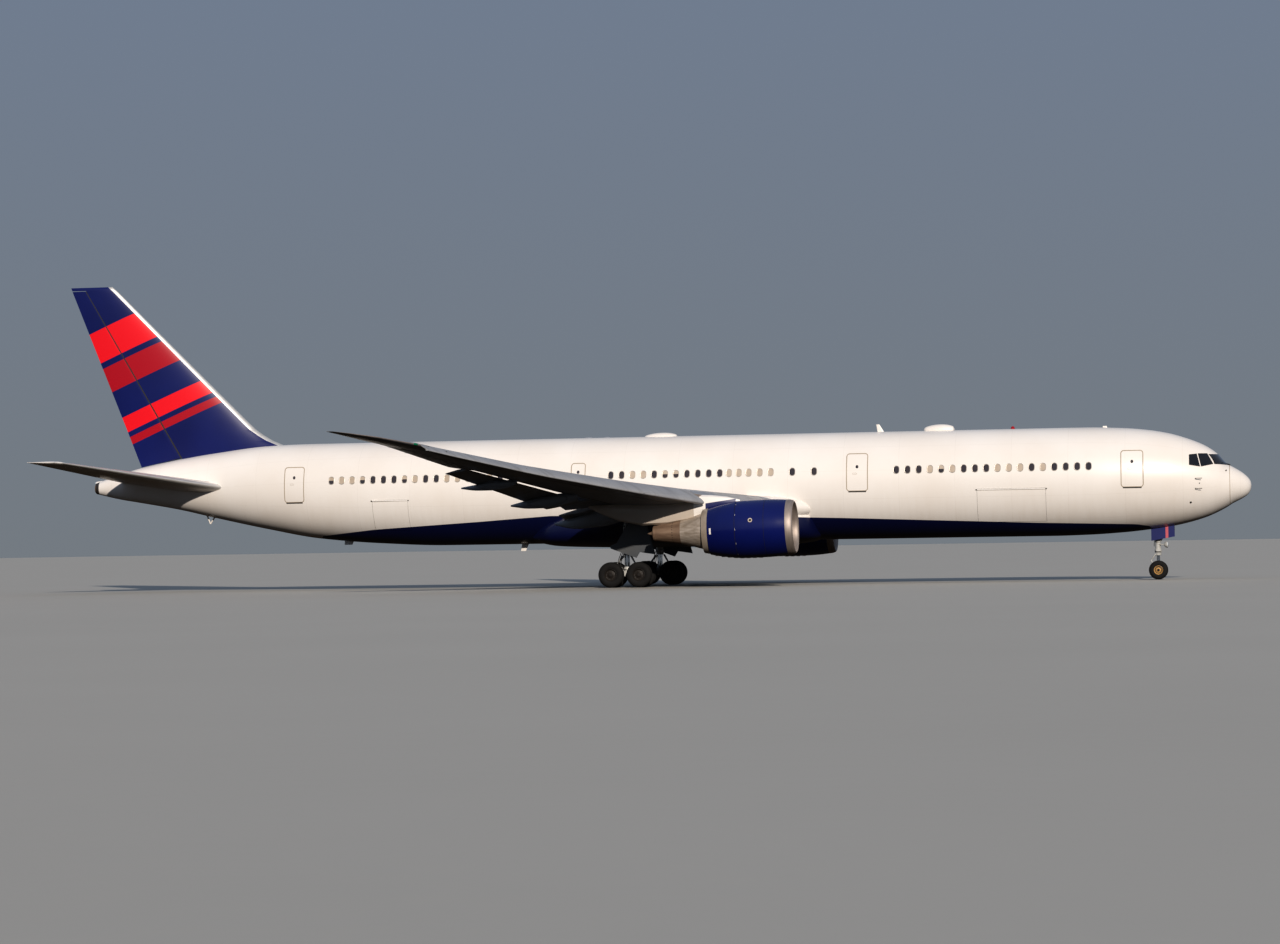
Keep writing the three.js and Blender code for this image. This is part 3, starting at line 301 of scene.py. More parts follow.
colours = {
    "white": "#f1ece6", "whiteOther": "#ebe4dc", "dirt": "#b9a790", "navy": "#0e1856", "navyOther": "#131f63",
    # The belly's navy is darker than the cowl and fin navy: painted shade for the underside
    "belly": "#090f35", "bellyOther": "#0c143f",
    "grey": "#8f949c", "greyOther": "#868b93", "red": "#f01727", "crimson": "#b01226", "seam": "#8d8577",
    "soot": "#37322e",
}

# Polyurethane enamel, sprayed: even and glossy, with faint orange peel of about 8 mm
enamel = {"roughness": (0.32, 0.42), "grain": 0.008, "bump": 0.00004, "cloud": 1.6,
          "sockets": {"IOR": 1.5, "Coat Weight": 0.15, "Coat Roughness": 0.1}}
# The belly paint's upper edge: station and height
navyEdge = [(4.2, -3.0), (4.95, -2.3), (5.6, -2.19), (10.5, -2.04), (20.3, -1.64), (29.0, -1.36), (35.1, -1.3),
            (38.9, -1.54), (44.5, -1.85), (47.55, -2.14), (48.6, -3.0)]


# White body paint over a navy belly, the belly's navy darker than elsewhere as painted shade, with frame seams,
# lap joints and road dirt that runs down
def makeLivery(name, belly):
    finish = startFinish(name, {"colour": colours["white"], "other": colours["whiteOther"], **enamel})
    tree = finish["tree"]
    frames = maskLines(tree, finish["station"], 2.79, 0.014, 0.31)  # ring seams
    turn = addNode(tree, "ShaderNodeMath", {0: finish["height"], 1: finish["side"]}, operation="ARCTAN2")
    laps = maskLines(tree, turn, 0.52, 0.0045)
    seams = addNode(tree, "ShaderNodeMath", {0: frames, 1: laps}, operation="MAXIMUM")
    faint = addNode(tree, "ShaderNodeMath", {0: seams, 1: 0.13}, operation="MULTIPLY")
    paintOver(finish, faint, linear(colours["seam"]))
    streaks = addNode(tree, "ShaderNodeVectorMath", {0: finish["place"], 1: (5.0, 1.0, 0.7)}, operation="MULTIPLY")
    runs = addNode(tree, "ShaderNodeTexNoise", {"Vector": streaks, "Scale": 1.6, "Detail": 6.0})
    low = addNode(tree, "ShaderNodeMapRange", {"Value": finish["height"], "From Min": 0.4, "From Max": -2.4})
    dirt = addNode(tree, "ShaderNodeMapRange", {"Value": runs, "From Min": 0.42, "From Max": 0.8, "To Max": 0.14})
    dirty = addNode(tree, "ShaderNodeMath", {0: dirt, 1: low}, operation="MULTIPLY")
    paintOver(finish, dirty, linear(colours["dirt"]))
    if belly:
        spread = addNode(tree, "ShaderNodeMapRange", {"Value": finish["station"], "From Max": model["length"]})
        curve = addNode(tree, "ShaderNodeFloatCurve", {1: spread})
        line = curve.node.mapping.curves[0]
        line.points[0].location = (0.0, 0.0)
        line.points[1].location = (1.0, 0.0)
        for station, height in navyEdge:
            line.points.new(station / model["length"], (height + 3) / 3)
        for point in line.points:
            point.handle_type = "VECTOR"
        curve.node.mapping.update()
        edge = addNode(tree, "ShaderNodeMath", {0: curve, 1: 3.0, 2: -3.0}, operation="MULTIPLY_ADD")
        under = maskOver(tree, edge, finish["height"])
        # Painted shade: the belly takes a darker navy than the cowls and fin
        bellyNavyPaintedShade = addNode(tree, "ShaderNodeMix", {0: finish["cloud"], 6: linear(colours["belly"]),
                                                    7: linear(colours["bellyOther"])}, output=2, data_type="RGBA")
        paintOver(finish, under, bellyNavyPaintedShade)
        # Soot on the end of the tail cone
        paintOver(finish, maskOver(tree, finish["station"], 59.9), linear(colours["soot"]))
    return finish["material"]


# Grey enamel on wing skins, with rib and spar seams
def makeWingPaint(name, colour, other):
    look = {"colour": colour, "other": other, **enamel, "cloud": 0.9, "roughness": (0.34, 0.46)}
    finish = startFinish(name, look)
    tree = finish["tree"]
    ribs = maskLines(tree, finish["side"], 1.46, 0.012)
    sweep = addNode(tree, "ShaderNodeMath", {0: finish["side"]}, operation="ABSOLUTE")
    along = addNode(tree, "ShaderNodeMath", {0: sweep, 1: -0.6, 2: finish["station"]}, operation="MULTIPLY_ADD")
    spars = maskLines(tree, along, 1.3, 0.012)
    seams = addNode(tree, "ShaderNodeMath", {0: ribs, 1: spars}, operation="MAXIMUM")
    faint = addNode(tree, "ShaderNodeMath", {0: seams, 1: 0.4}, operation="MULTIPLY")
    paintOver(finish, faint, linear("#5c5f63"))
    oil = addNode(tree, "ShaderNodeTexNoise", {"Vector": addNode(tree, "ShaderNodeVectorMath", {
        0: finish["place"], 1: (0.6, 4.0, 1.0)}, operation="MULTIPLY"), "Scale": 1.3, "Detail": 6.0})
    stains = addNode(tree, "ShaderNodeMapRange", {"Value": oil, "From Min": 0.5, "From Max": 0.85, "To Max": 0.55})
    paintOver(finish, stains, linear("#5f5a52"))
    return finish["material"]


# Fin paint: navy with broad slanted bands in two reds
tailBands = {
    "slope": 0.42,
    "bands": [(10.2, 8.4, "red"), (8.05, 6.6, "crimson"), (5.0, 4.1, "red"), (3.8, 3.35, "crimson")],
}


def makeTailPaint(name):
    finish = startFinish(name, {"colour": colours["navy"], "other": colours["navyOther"], **enamel})
    tree = finish["tree"]
    aft = addNode(tree, "ShaderNodeMath", {0: finish["station"], 1: -57.0}, operation="ADD")
    level = addNode(tree, "ShaderNodeMath", {0: aft, 1: tailBands["slope"], 2: finish["height"]},
                    operation="MULTIPLY_ADD")
    for top, bottom, shade in tailBands["bands"]:
        band = addNode(tree, "ShaderNodeMath", {0: maskOver(tree, level, bottom), 1: maskOver(tree, top, level)},
                       operation="MULTIPLY")
        paintOver(finish, band, linear(colours[shade]))
    return finish["material"]


# Pylon paint: white in front, grey behind the engine
def makePylonPaint(name):
    finish = startFinish(name, {"colour": colours["white"], "other": colours["whiteOther"], **enamel})
    tree = finish["tree"]
    paintOver(finish, maskOver(tree, finish["station"], 26.7), linear("#c6bbae"))
    foot = addNode(tree, "ShaderNodeMath", {0: finish["station"], 1: 0.14, 2: finish["height"]},
                   operation="MULTIPLY_ADD")
    masks = [maskOver(tree, 2.78, foot), maskOver(tree, finish["station"], 24.65),
             maskOver(tree, 26.12, finish["station"])]
    low = addNode(tree, "ShaderNodeMath", {0: masks[0], 1: masks[1]}, operation="MULTIPLY")
    low = addNode(tree, "ShaderNodeMath", {0: low, 1: masks[2]}, operation="MULTIPLY")
    paintOver(finish, low, linear(colours["navy"]))
    return finish["material"]


# Nose gear doors: navy with one upright stripe
def makeDoorPaint(name):
    finish = startFinish(name, {"colour": colours["navy"], "other": colours["navyOther"], **enamel})
    aside = addNode(finish["tree"], "ShaderNodeMath", {0: finish["station"], 1: 4.17, 2: 0.07},
                    operation="COMPARE")
    paintOver(finish, aside, linear("#c4606b"))
    return finish["material"]


# What most plain finishes share: grain and cloud in metres, a bump of a tenth of a millimetre
usualLook = {"roughness": (0.6, 0.8), "grain": 0.01, "bump": 0.0001, "cloud": 0.3}


def plainFinish(name, colour, other, look, lines=()):
    finish = startFinish(name, {**usualLook, "colour": colour, "other": other, **look})
    for axis, pitch, width, lineColour, strength in lines:
        mask = maskLines(finish["tree"], finish[axis], pitch, width)
        faint = addNode(finish["tree"], "ShaderNodeMath", {0: mask, 1: strength}, operation="MULTIPLY")
        paintOver(finish, faint, linear(lineColour))
    return finish["material"]


clearCoat = {"Coat Weight": 1.0}
finishes = {
    "livery": makeLivery("sprayed enamel, white over navy", True),
    "white": makeLivery("sprayed enamel, white", False),
    "wing": makeWingPaint("wing enamel, grey", colours["grey"], colours["greyOther"]),
    "slat": makeWingPaint("slat enamel, light grey", "#a1a2a4", "#959699"),
    # The gear doors' dark grey is painted shade of the wing
    "gearDoor": makeWingPaint("gear door enamel, dark grey", "#53575b", "#4a4e52"),
    "pylon": makePylonPaint("sprayed enamel, white over grey"),
    "door": makeDoorPaint("sprayed enamel, navy with a pale red stripe"),
    "tail": makeTailPaint("sprayed enamel, navy with red bands"),
}
# Each row: name, colour, its cloudy other colour, and what differs from the usual look
plainLooks = {
    # Polished enamel on the cowls: deep colour with a sharp sheen
    "navy": ("sprayed enamel, navy", colours["navy"], colours["navyOther"], {**enamel, "roughness": (0.18, 0.27)}),
    # Satin skin of the inlet lip, with faint turning marks round it
    "lip": ("satin aluminium", "#b0a49c", "#9d928a", {
        "metallic": 0.65, "roughness": (0.5, 0.62), "grain": 0.02, "bump": 0.00003, "stretch": (6, 1, 1)}),
    # Bare edges of fin and stabilizers, brushed along the span to a pale gleam
    "edge": ("brushed leading edge aluminium", "#dcdad6", "#cccac6", {
        "metallic": 0.55, "roughness": (0.4, 0.5), "grain": 0.02, "bump": 0.00003, "cloud": 0.4,
        "stretch": (1, 1, 6)}),
    # Dark grey in the bays, coves and gaps behind slats and flaps: painted shade
    "bayPrimer": ("bay primer, dark grey", "#4b4e52", "#3f4246", {}),
    # Matt thin lines along the panels of wing and tail
    "wingSealant": ("seam sealant, grey", "#5f6368", "#4f5358", {}),
    # Brushed core cowl, streaked by heat
    "brushed": ("brushed aluminium", "#cfc3b6", "#a89a8a", {
        "metallic": 0.5, "roughness": (0.4, 0.6), "grain": 0.012, "bump": 0.00005, "cloud": 0.16,
        "stretch": (0.25, 3, 3)}),
    # Nickel alloy browned by the exhaust
    "hot": ("heated nickel alloy", "#a08975", "#7a6352", {
        "metallic": 0.45, "roughness": (0.45, 0.62), "grain": 0.02, "bump": 0.00006, "cloud": 0.25,
        "stretch": (0.5, 2, 2)}),
    # Pale enamel on the fan nozzle, a little chalky
    "nozzle": ("nozzle enamel, beige", "#a1978b", "#8e8375", {**enamel, "cloud": 0.3}),
    # Forged and polished blades, grey and reflective
    "titanium": ("forged titanium", "#8d8f94", "#74767b", {
        "metallic": 1.0, "roughness": (0.28, 0.4), "grain": 0.006, "bump": 0.00002, "cloud": 0.2}),
    # Its 4 mm holes give a dull, grainy grey
    "liner": ("perforated acoustic liner", "#b4b6b8", "#a2a4a6", {
        "roughness": (0.5, 0.7), "grain": 0.004, "bump": 0.0002}),
    # Cockpit glass with a clear reflection, dark as painted shade of the unlit cockpit behind it
    "glass": ("coated acrylic glass", "#16161a", "#221f1f", {
        "roughness": (0.04, 0.09), "grain": 0.05, "bump": 0.00001, "cloud": 0.4,
        "sockets": {"IOR": 1.49, **clearCoat, "Coat Roughness": 0.02}}),
    # Cabin panes, dark and a little milky: painted shade of the unlit cabin behind the glass
    "cabinGlass": ("cabin pane, stretched acrylic", "#3d3a3f", "#4a4243", {
        "roughness": (0.08, 0.14), "grain": 0.05, "bump": 0.00001, "cloud": 0.4,
        "sockets": {"IOR": 1.49, "Coat Weight": 0.5}}),
    # Moulded shades, warm beige behind the pane's sheen
    "shade": ("window shade plastic", "#c3b4a2", "#b8a793", {
        "roughness": (0.3, 0.4), "grain": 0.006, "bump": 0.00003, "cloud": 0.2,
        "sockets": {"IOR": 1.53, "Coat Weight": 0.6}}),
    # Thin pressed frames with a soft glint
    "trim": ("window frame aluminium", "#c8c2b8", "#b8b2a8", {
        "metallic": 0.6, "roughness": (0.35, 0.5), "bump": 0.00003, "cloud": 0.5}),
    # Weathered sealant round the doors, a dull tan line
    "sealant": ("seam sealant", "#b3a592", "#a29480", {"cloud": 0.5}),
    # Moulded seals, nearly black and matt; the same black on the round noses of hinged surfaces and in the fin's
    # cove is painted shade in the hinge gaps
    "blackRubber": ("black rubber seal", "#1b1a1a", "#242220", {"grain": 0.006, "cloud": 0.2}),
    # Sprayed gear legs, pale with oily clouds
    "gear": ("gear enamel, pale grey", "#c9cac8", "#a9a8a2", {**enamel, "roughness": (0.35, 0.55), "cloud": 0.12}),
    # Main wheels, dark with brake dust and painted shade of the wing
    "hub": ("wheel enamel, brake dusted", "#2e2823", "#1f1a17", {
        **enamel, "roughness": (0.5, 0.7), "cloud": 0.06}),
    # Nose wheels keep their tan paint, with no brake dust and no painted shade
    "noseHub": ("wheel enamel, tan", "#cda468", "#a9834f", {**enamel, "roughness": (0.4, 0.6), "cloud": 0.06}),
    # Ground and plated pistons mirror the ground
    "chrome": ("chromed piston steel", "#e2e3e5", "#d4d5d8", {
        "metallic": 1.0, "roughness": (0.06, 0.14), "bump": 0.00001, "cloud": 0.2}),
    # Forged pins and links, oiled brown grey
    "steel": ("forged steel, oiled", "#5d5b58", "#3d3b38", {
        "metallic": 0.9, "roughness": (0.35, 0.55), "cloud": 0.08}),
    # Primed bays with a frame every 560 mm
    "lining": ("bay primer, pale green", "#9aa38a", "#828a73", {"roughness": (0.55, 0.7), "cloud": 0.4},
               [("station", 0.56, 0.03, "#5d6552", 0.8)]),
    # Steel under soot, black with no shine; the same black in the fan duct, the relief port and the small holes is
    # painted shade
    "soot": ("sooted steel", "#1d1b1a", "#2a2623", {"metallic": 0.4, "cloud": 0.1}),
    # Pressed lenses, clear and glossy
    "lens": ("lamp lens glass", "#dfe6ea", "#c9d2d8", {
        "roughness": (0.03, 0.08), "cloud": 0.1, "sockets": {"IOR": 1.5, **clearCoat}}),
    "redLens": ("red lens glass", "#b01018", "#8c0c14", {
        "roughness": (0.05, 0.1), "cloud": 0.1, "sockets": {"IOR": 1.5, **clearCoat}}),
    "greenLens": ("green lens glass", "#10835c", "#0c6647", {
        "roughness": (0.05, 0.1), "cloud": 0.1, "sockets": {"IOR": 1.5, **clearCoat}}),
    # Moulded rubber, dull black greyed by runway dust, darkened further as painted shade of the wing; its grooves
    # are in the mesh
    "tyre": ("moulded tyre rubber", "#070606", "#100e0d", {
        "roughness": (0.75, 0.9), "grain": 0.004, "bump": 0.0002, "cloud": 0.1}),
    # Pale matt floor that takes the shadows
    "floor": ("studio floor, pale", "#b9b6ae", "#b7b4ac", {
        "roughness": (0.85, 0.95), "grain": 0.2, "bump": 0.0005, "cloud": 6.0}),
}
for key, facts in plainLooks.items():
    finishes[key] = plainFinish(*facts)
print("materials made:", len(finishes))

# CAD nodes are shown smooth where their faces meet at a low angle
smoothing = bpy.data.node_groups.new("smooth by angle", "GeometryNodeTree")
smoothing.interface.new_socket("Geometry", in_out="INPUT", socket_type="NodeSocketGeometry")
smoothing.interface.new_socket("Geometry", in_out="OUTPUT", socket_type="NodeSocketGeometry")
cadMesh = addNode(smoothing, "NodeGroupInput")
cadMesh = addNode(smoothing, "GeometryNodeRemoveAttribute", {"Geometry": cadMesh, "Name": "custom_normal"})
cadMesh = addNode(smoothing, "GeometryNodeMergeByDistance", {"Geometry": cadMesh, "Distance": 0.00003})
cadMesh = addNode(smoothing, "GeometryNodeSetShadeSmooth", {"Geometry": cadMesh, "Shade Smooth": True},
                  domain="FACE")
edgeAngle = addNode(smoothing, "GeometryNodeInputMeshEdgeAngle")
flatEnough = addNode(smoothing, "FunctionNodeCompare", {0: edgeAngle, 1: radians(32)}, data_type="FLOAT",
                     operation="LESS_THAN")
cadMesh = addNode(smoothing, "GeometryNodeSetShadeSmooth", {"Geometry": cadMesh, "Shade Smooth": flatEnough},
                  domain="EDGE")
addNode(smoothing, "NodeGroupOutput", {"Geometry": cadMesh})

cadFinishes = {
    "pylon": ["pylon"], "door": ["nose_gear_door"],
}


def dressNode(name, finish):
    node = nodes[name]
    node.data.materials.clear()
    node.data.materials.append(finishes[finish])
    node.modifiers.new("smooth", "NODES").node_group = smoothing


for finish, names in cadFinishes.items():
    for name in names:
        for full in (name, "right_" + name, "left_" + name):
            if full in nodes:
                dressNode(full, finish)


# Fuselage skin

fuselage = {
    "power": 2.08,  # 2 is an ellipse, more is squarer
    "sides": 144,
    "sections": [  # station, belly height, roof height, half width
        (0.0, -0.37, -0.31, 0.03), (0.05, -0.6, -0.1, 0.26), (0.16, -0.77, 0.06, 0.43), (0.45, -0.98, 0.32, 0.69),
        (0.9, -1.21, 0.6, 0.99), (1.2, -1.4, 0.78, 1.16), (1.66, -1.64, 1.29, 1.38), (2.17, -1.86, 1.65, 1.57),
        (3.2, -2.16, 2.09, 1.87), (4.05, -2.33, 2.34, 2.07), (4.92, -2.44, 2.5, 2.22), (6.2, -2.57, 2.63, 2.38),
        (8.0, -2.67, 2.7, 2.49), (9.8, -2.705, 2.705, 2.515), (41.0, -2.7, 2.705, 2.515),
        (44.5, -2.55, 2.705, 2.47), (47.9, -2.24, 2.705, 2.27), (50.6, -1.73, 2.65, 1.96),
        (53.5, -1.09, 2.34, 1.54), (55.5, -0.62, 2.03, 1.2),
        (57.5, -0.25, 1.65, 0.84), (58.8, -0.02, 1.3, 0.6), (60.1, 0.29, 0.87, 0.29),
    ],
    "pieces": {"radome": (0, 0.9), "fuselage_nose": (0.9, 8), "fuselage_forward": (8, 21.5),
               "fuselage_centre": (21.5, 36.5), "fuselage_aft": (36.5, 47.9), "fuselage_tail": (47.9, 58.8),
               "tail_cone": (58.8, 60.1)},
}
skinRows = {}


def skinRow(station):
    key = round(station, 5)
    if key not in skinRows:
        measure = sqrt if station < 3.2 else float  # the nose is blunt
        skinRows[key] = rowAt(fuselage["sections"], station, measure)
    return skinRows[key]


def skinRing(station, grow=0.0, sides=None):
    _, belly, roof, half = skinRow(station)
    sides = sides or fuselage["sides"]
    bend = 2 / fuselage["power"]
    ring = []
    for i in range(sides):
        angle = 2 * pi * i / sides
        up, aside = [copysign(abs(v) ** bend, v) for v in (cos(angle), sin(angle))]
        ring.append(at(station, (half + grow) * aside, (roof + belly) / 2 + ((roof - belly) / 2 + grow) * up))
    return ring


def skinLevel(station, side, height):
    _, belly, roof, half = skinRow(station)
    up = (height - (roof + belly) / 2) / ((roof - belly) / 2)
    return abs(side / half) ** fuselage["power"] + abs(up) ** fuselage["power"]


def skinSide(station, height):
    _, belly, roof, half = skinRow(station)
    up = (height - (roof + belly) / 2) / ((roof - belly) / 2)
    return half * max(1 - abs(up) ** fuselage["power"], 0) ** (1 / fuselage["power"])


# A point on the skin and the direction out of it
def skinSpot(station, side, height):
    d = 0.01
    station = max(station, 0.02)
    grow = [skinLevel(station + d, side, height) - skinLevel(station - d, side, height),
            skinLevel(station, side + d, height) - skinLevel(station, side - d, height),
            skinLevel(station, side, height + d) - skinLevel(station, side, height - d)]
    return at(station, side, height), Vector((-grow[0], grow[1], grow[2])).normalized()


def onSkin(station, height, side, lift=0.0):
    point, out = skinSpot(station, side * skinSide(station, height), height)
    return point + out * lift * model["scale"]


def skinStations(front, back):
    spots = {front, back}
    spots.update(x ** 2 for x in steps(0, 1.8, 72))
    spots.update(3.24 + 0.16 * i for i in range(40))
    spots.update(9.6 + 0.6 * i for i in range(53))
    spots.update(41.4 + 0.3 * i for i in range(62))
    return sorted(s for s in spots
                  if front <= s <= back and (s in (front, back) or min(s - front, back - s) > 0.01))


# Cut a hole with a closed shape, whose own material shows inside
def cutOut(piece, cutter):
    cut = piece.modifiers.new("opening", "BOOLEAN")
    cut.operation = "DIFFERENCE"
    cut.solver = "EXACT"
    cut.material_mode = "TRANSFER"
    cut.object = cutter
    mesh = bpy.data.meshes.new_from_object(piece.evaluated_get(bpy.context.evaluated_depsgraph_get()))
    piece.modifiers.clear()
    piece.data = mesh
    bpy.data.objects.remove(cutter)
    smoothShade(piece, 35)


def cutterFrom(soup, finish):
    mesh = meshFrom("cutter", soup, [finish])
    work = bmesh.new()
    work.from_mesh(mesh)
    bmesh.ops.recalc_face_normals(work, faces=work.faces)
    work.to_mesh(mesh)
    work.free()
    return addObject("cutter", mesh)


def boxCutter(stations, sides, heights, finish):
    soup = newSoup()
    ring = [(sides[0], heights[0]), (sides[1], heights[0]), (sides[1], heights[1]), (sides[0], heights[1])]
    addGrid(soup, [[at(s, y, z) for y, z in ring] for s in stations], wrap=True, caps=True)
    return cutterFrom(soup, finish)


cargoDoors = {
    "cargo_door_forward": {"host": "fuselage_forward", "body": "forward_cargo_door", "front": 10.0, "back": 13.4,
                           "bottom": -1.96, "hinge": -0.36},
    "cargo_door_aft": {"host": "fuselage_aft", "body": "aft_cargo_door", "front": 42.5, "back": 44.4,
                       "bottom": -1.9, "hinge": -0.38},
}
doorParts = {"gap": 0.011, "thickness": 0.12, "holdWall": 0.9, "barrel": 0.032, "lug": 0.06}
noseBay = {"front": 3.78, "back": 4.96, "halfWidth": 0.4, "top": -1.9}

skins = {}
for name, (front, back) in fuselage["pieces"].items():
    soup = newSoup()
    end = back if name == "tail_cone" else back - 0.0006
    addGrid(soup, [skinRing(s) for s in skinStations(front, end)], wrap=True, caps=True)
    skins[name] = makePiece(name + "_skin", soup, ["livery"], replaces=[name])

cutOut(skins["fuselage_nose"],
       boxCutter((noseBay["front"], noseBay["back"]), (-noseBay["halfWidth"], noseBay["halfWidth"]),
                 (-3, noseBay["top"]), "lining"))
for name, door in cargoDoors.items():
    hold = boxCutter((door["front"], door["back"]), (-3, -doorParts["holdWall"]),
                     (door["bottom"] - doorParts["gap"], door["hinge"]), "lining")
    cutOut(skins[door["host"]], hold)
    aside = -(skinSide((door["front"] + door["back"]) / 2, door["hinge"]) + 0.004)
    door["aside"] = aside
    barrelSpace = newSoup()
    addBar(barrelSpace, at(door["front"], aside, door["hinge"]), at(door["back"], aside, door["hinge"]),
           doorParts["barrel"] + doorParts["gap"], bevel=0.001)
    cutOut(skins[door["host"]], cutterFrom(barrelSpace, "lining"))
exhaust = newSoup()
addTurned(exhaust, at(59.75, 0, 0.57), at(60.3, 0, 0.58), [(0, 0.19), (0.55, 0.235)], 40)
cutOut(skins["tail_cone"], cutterFrom(exhaust, "soot"))
print("fuselage skin made")

# Cargo doors: a curved panel with its own thickness, hinged at the top
for name, door in cargoDoors.items():
    front, back = door["front"] + doorParts["gap"], door["back"] - doorParts["gap"]
    heights = steps(door["bottom"], door["hinge"] - 0.012, 14)
    rows = []
    for station in steps(front, back, 16):
        outer = [onSkin(station, z, -1) for z in heights]
        inner = [onSkin(station, z, -1, -doorParts["thickness"]) for z in reversed(heights)]
        rows.append(outer + inner)
    soup = newSoup()
    addGrid(soup, rows, [0] * 14 + [1] * 16, wrap=True, caps=True)
    addBar(soup, at(front, door["aside"], door["hinge"]), at(back, door["aside"], door["hinge"]),
           doorParts["barrel"], bevel=0.004)
    for z in (-0.7, -1.15, -1.55):  # stiffeners across the inside
        inside = [onSkin(s, z, -1, -doorParts["thickness"] - 0.012) for s in (front + 0.15, back - 0.15)]
        middle = (inside[0] + inside[1]) / 2
        addBlock(soup, middle, ((back - front) / 2 - 0.2, 0.02, 0.03), finish=1)
    makePiece(name + "_panel", soup, ["livery", "lining"], door["body"], [name])
    lugs = newSoup()
    for station in (door["front"] - doorParts["lug"] / 2, door["back"] + doorParts["lug"] / 2):
        addBlock(lugs, at(station, door["aside"] + 0.06, door["hinge"]), (doorParts["lug"] / 2, 0.08, 0.03))
    for ends in ((door["front"] - 0.03, front + 0.05), (back - 0.05, door["back"] + 0.03)):
        addBar(lugs, *[at(s, door["aside"], door["hinge"]) for s in ends], doorParts["barrel"] / 2, bevel=0.002)
    makePiece(name + "_lugs", lugs, ["steel"])
print("cargo doors made")


# Cabin windows, doors and other things on the skin

def roundedOutline(station, height, halfLong, halfTall, radius, corner=5):
    points = []
    for turn, (sx, sz) in enumerate([(1, 1), (-1, 1), (-1, -1), (1, -1)]):
        for a in steps(turn * pi / 2, (turn + 1) * pi / 2, corner):
            points.append((station + sx * (halfLong - radius) + radius * cos(a),
                           height + sz * (halfTall - radius) + radius * sin(a)))
    return points


def outFromAxis(centre):
    return Vector((0, centre.y, centre.z + model["ground"] * model["scale"]))


# A closed line on the skin as a flat ribbon with a raised middle
def addSkinLine(soup, outline, width, side, lift=0.006, finish=0, closed=True):
    rows = []
    count = len(outline)
    for i, (s, z) in enumerate(outline):
        before = outline[i - 1] if closed or i else outline[i]
        after = outline[(i + 1) % count] if closed or i < count - 1 else outline[i]
        ds, dz = after[0] - before[0], after[1] - before[1]
        length = hypot(ds, dz) or 1
        across = (dz / length * width / 2, -ds / length * width / 2)
        rows.append([onSkin(s + k * across[0], z + k * across[1], side, lift * (1 if k == 0 else 0.4))
                     for k in (-1, 0, 1)])
    if closed:
        rows.append(rows[0])
    addGrid(soup, rows, finish)


def denseLine(points, pitch=0.12, closed=True):
    result = []
    pairs = list(zip(points, points[1:] + points[:1] if closed else points[1:]))
    for (s0, z0), (s1, z1) in pairs:
        count = max(1, round(hypot(s1 - s0, z1 - z0) / pitch))
        result += [(s0 + (s1 - s0) * i / count, z0 + (z1 - z0) * i / count) for i in range(count)]
    return result if closed else result + [points[-1]]


windowPitch = 0.5588  # 22 inches
cabin = {
    "height": 0.71, "halfLong": 0.132, "halfTall": 0.18, "radius": 0.122, "frame": 0.03,
    # Shades from the rear of each row forward: d open, b closed, h half
    "rows": [
        {"stations": [17.39 - windowPitch * i for i in range(18)], "shades": "dddbhbdddbbbdbdddd"},
        {"stations": [22.62, 21.52], "shades": "dd"},
        {"stations": [31.89 - windowPitch * i for i in range(11)] + [25.83, 25.33, 24.83, 24.27, 23.71],
         "shades": "ddbbdhhddddbbbbb"},
        {"stations": [46.58 - windowPitch * i for i in range(22)], "shades": "hbbhdddhbddbbddbddbbdd"},
    ],
}
windows = newSoup()
for side in (-1, 1):
    for row in cabin["rows"]:
        for station, shade in zip(row["stations"], row["shades"]):
            rings = []
            for grow, lift in ((cabin["frame"], 0.003), (0.012, 0.012), (0.0, 0.009)):
                outline = roundedOutline(station, cabin["height"], cabin["halfLong"] + grow,
                                         cabin["halfTall"] + grow, cabin["radius"] + grow)
                rings.append([onSkin(s, z, side, lift) for s, z in outline])
            addGrid(windows, rings, 0, wrap=True)
            # The pane closes in on its middle line, so that a half shade has its edge there
            edge = {"d": 2.0, "b": -2.0, "h": 0.0}[shade if side < 0 else "dbdh"[int(station * 7) % 4]]
            for finish, low, high in ((1, -1.0, edge), (2, edge, 1.0)):
                levels = [v for v in steps(-0.98, 0.98, 12) if low <= v <= high]
                if len(levels) < 2:
                    continue
                pane = []
                for v in levels:
                    z = cabin["height"] + v * cabin["halfTall"]
                    over = max(abs(v) * cabin["halfTall"] - (cabin["halfTall"] - cabin["radius"]), 0)
                    half = cabin["halfLong"] - cabin["radius"] + sqrt(max(cabin["radius"] ** 2 - over ** 2, 0))
                    pane.append([onSkin(station + half * u, z, side, 0.008) for u in (-1, -0.5, 0, 0.5, 1)])
                addGrid(windows, pane, finish)
# Open panes are dark: painted shade of the cabin behind
makePiece("cabin_windows", windows, ["trim", "cabinGlass", "shade"],
          openFrom=outFromAxis)

# Passenger doors and the overwing exit as seams, with sill, window and handle; the bulk door on the left
doorSeams = {
    "doors": [  # front station, back station, bottom, top, corner radius
        (5.24, 6.31, -0.35, 1.45), (18.83, 19.88, -0.31, 1.56), (48.09, 49.15, -0.37, 1.44)],
    "exits": [(33.22, 33.94, 0.15, 1.35)],
    "width": 0.045,
}
seams = newSoup()
for side in (-1, 1):
    for front, back, bottom, top in doorSeams["doors"] + doorSeams["exits"]:
        outline = roundedOutline((front + back) / 2, (bottom + top) / 2,
                                 (back - front) / 2, (top - bottom) / 2, 0.14)
        addSkinLine(seams, denseLine(outline), doorSeams["width"], side)
        sill = [(s, bottom - 0.03) for s in steps(front + 0.08, back - 0.08, 8)]
        addSkinLine(seams, sill, 0.07, side, 0.01, 1, closed=False)
        window = roundedOutline((front + back) / 2, 0.9, 0.035, 0.05, 0.034)
        addSkinLine(seams, window, 0.066, side, 0.004, 2)
        handle = roundedOutline((front + back) / 2 + 0.12, 0.55, 0.1, 0.035, 0.03)
        addSkinLine(seams, handle, 0.01, side, 0.006, 0)
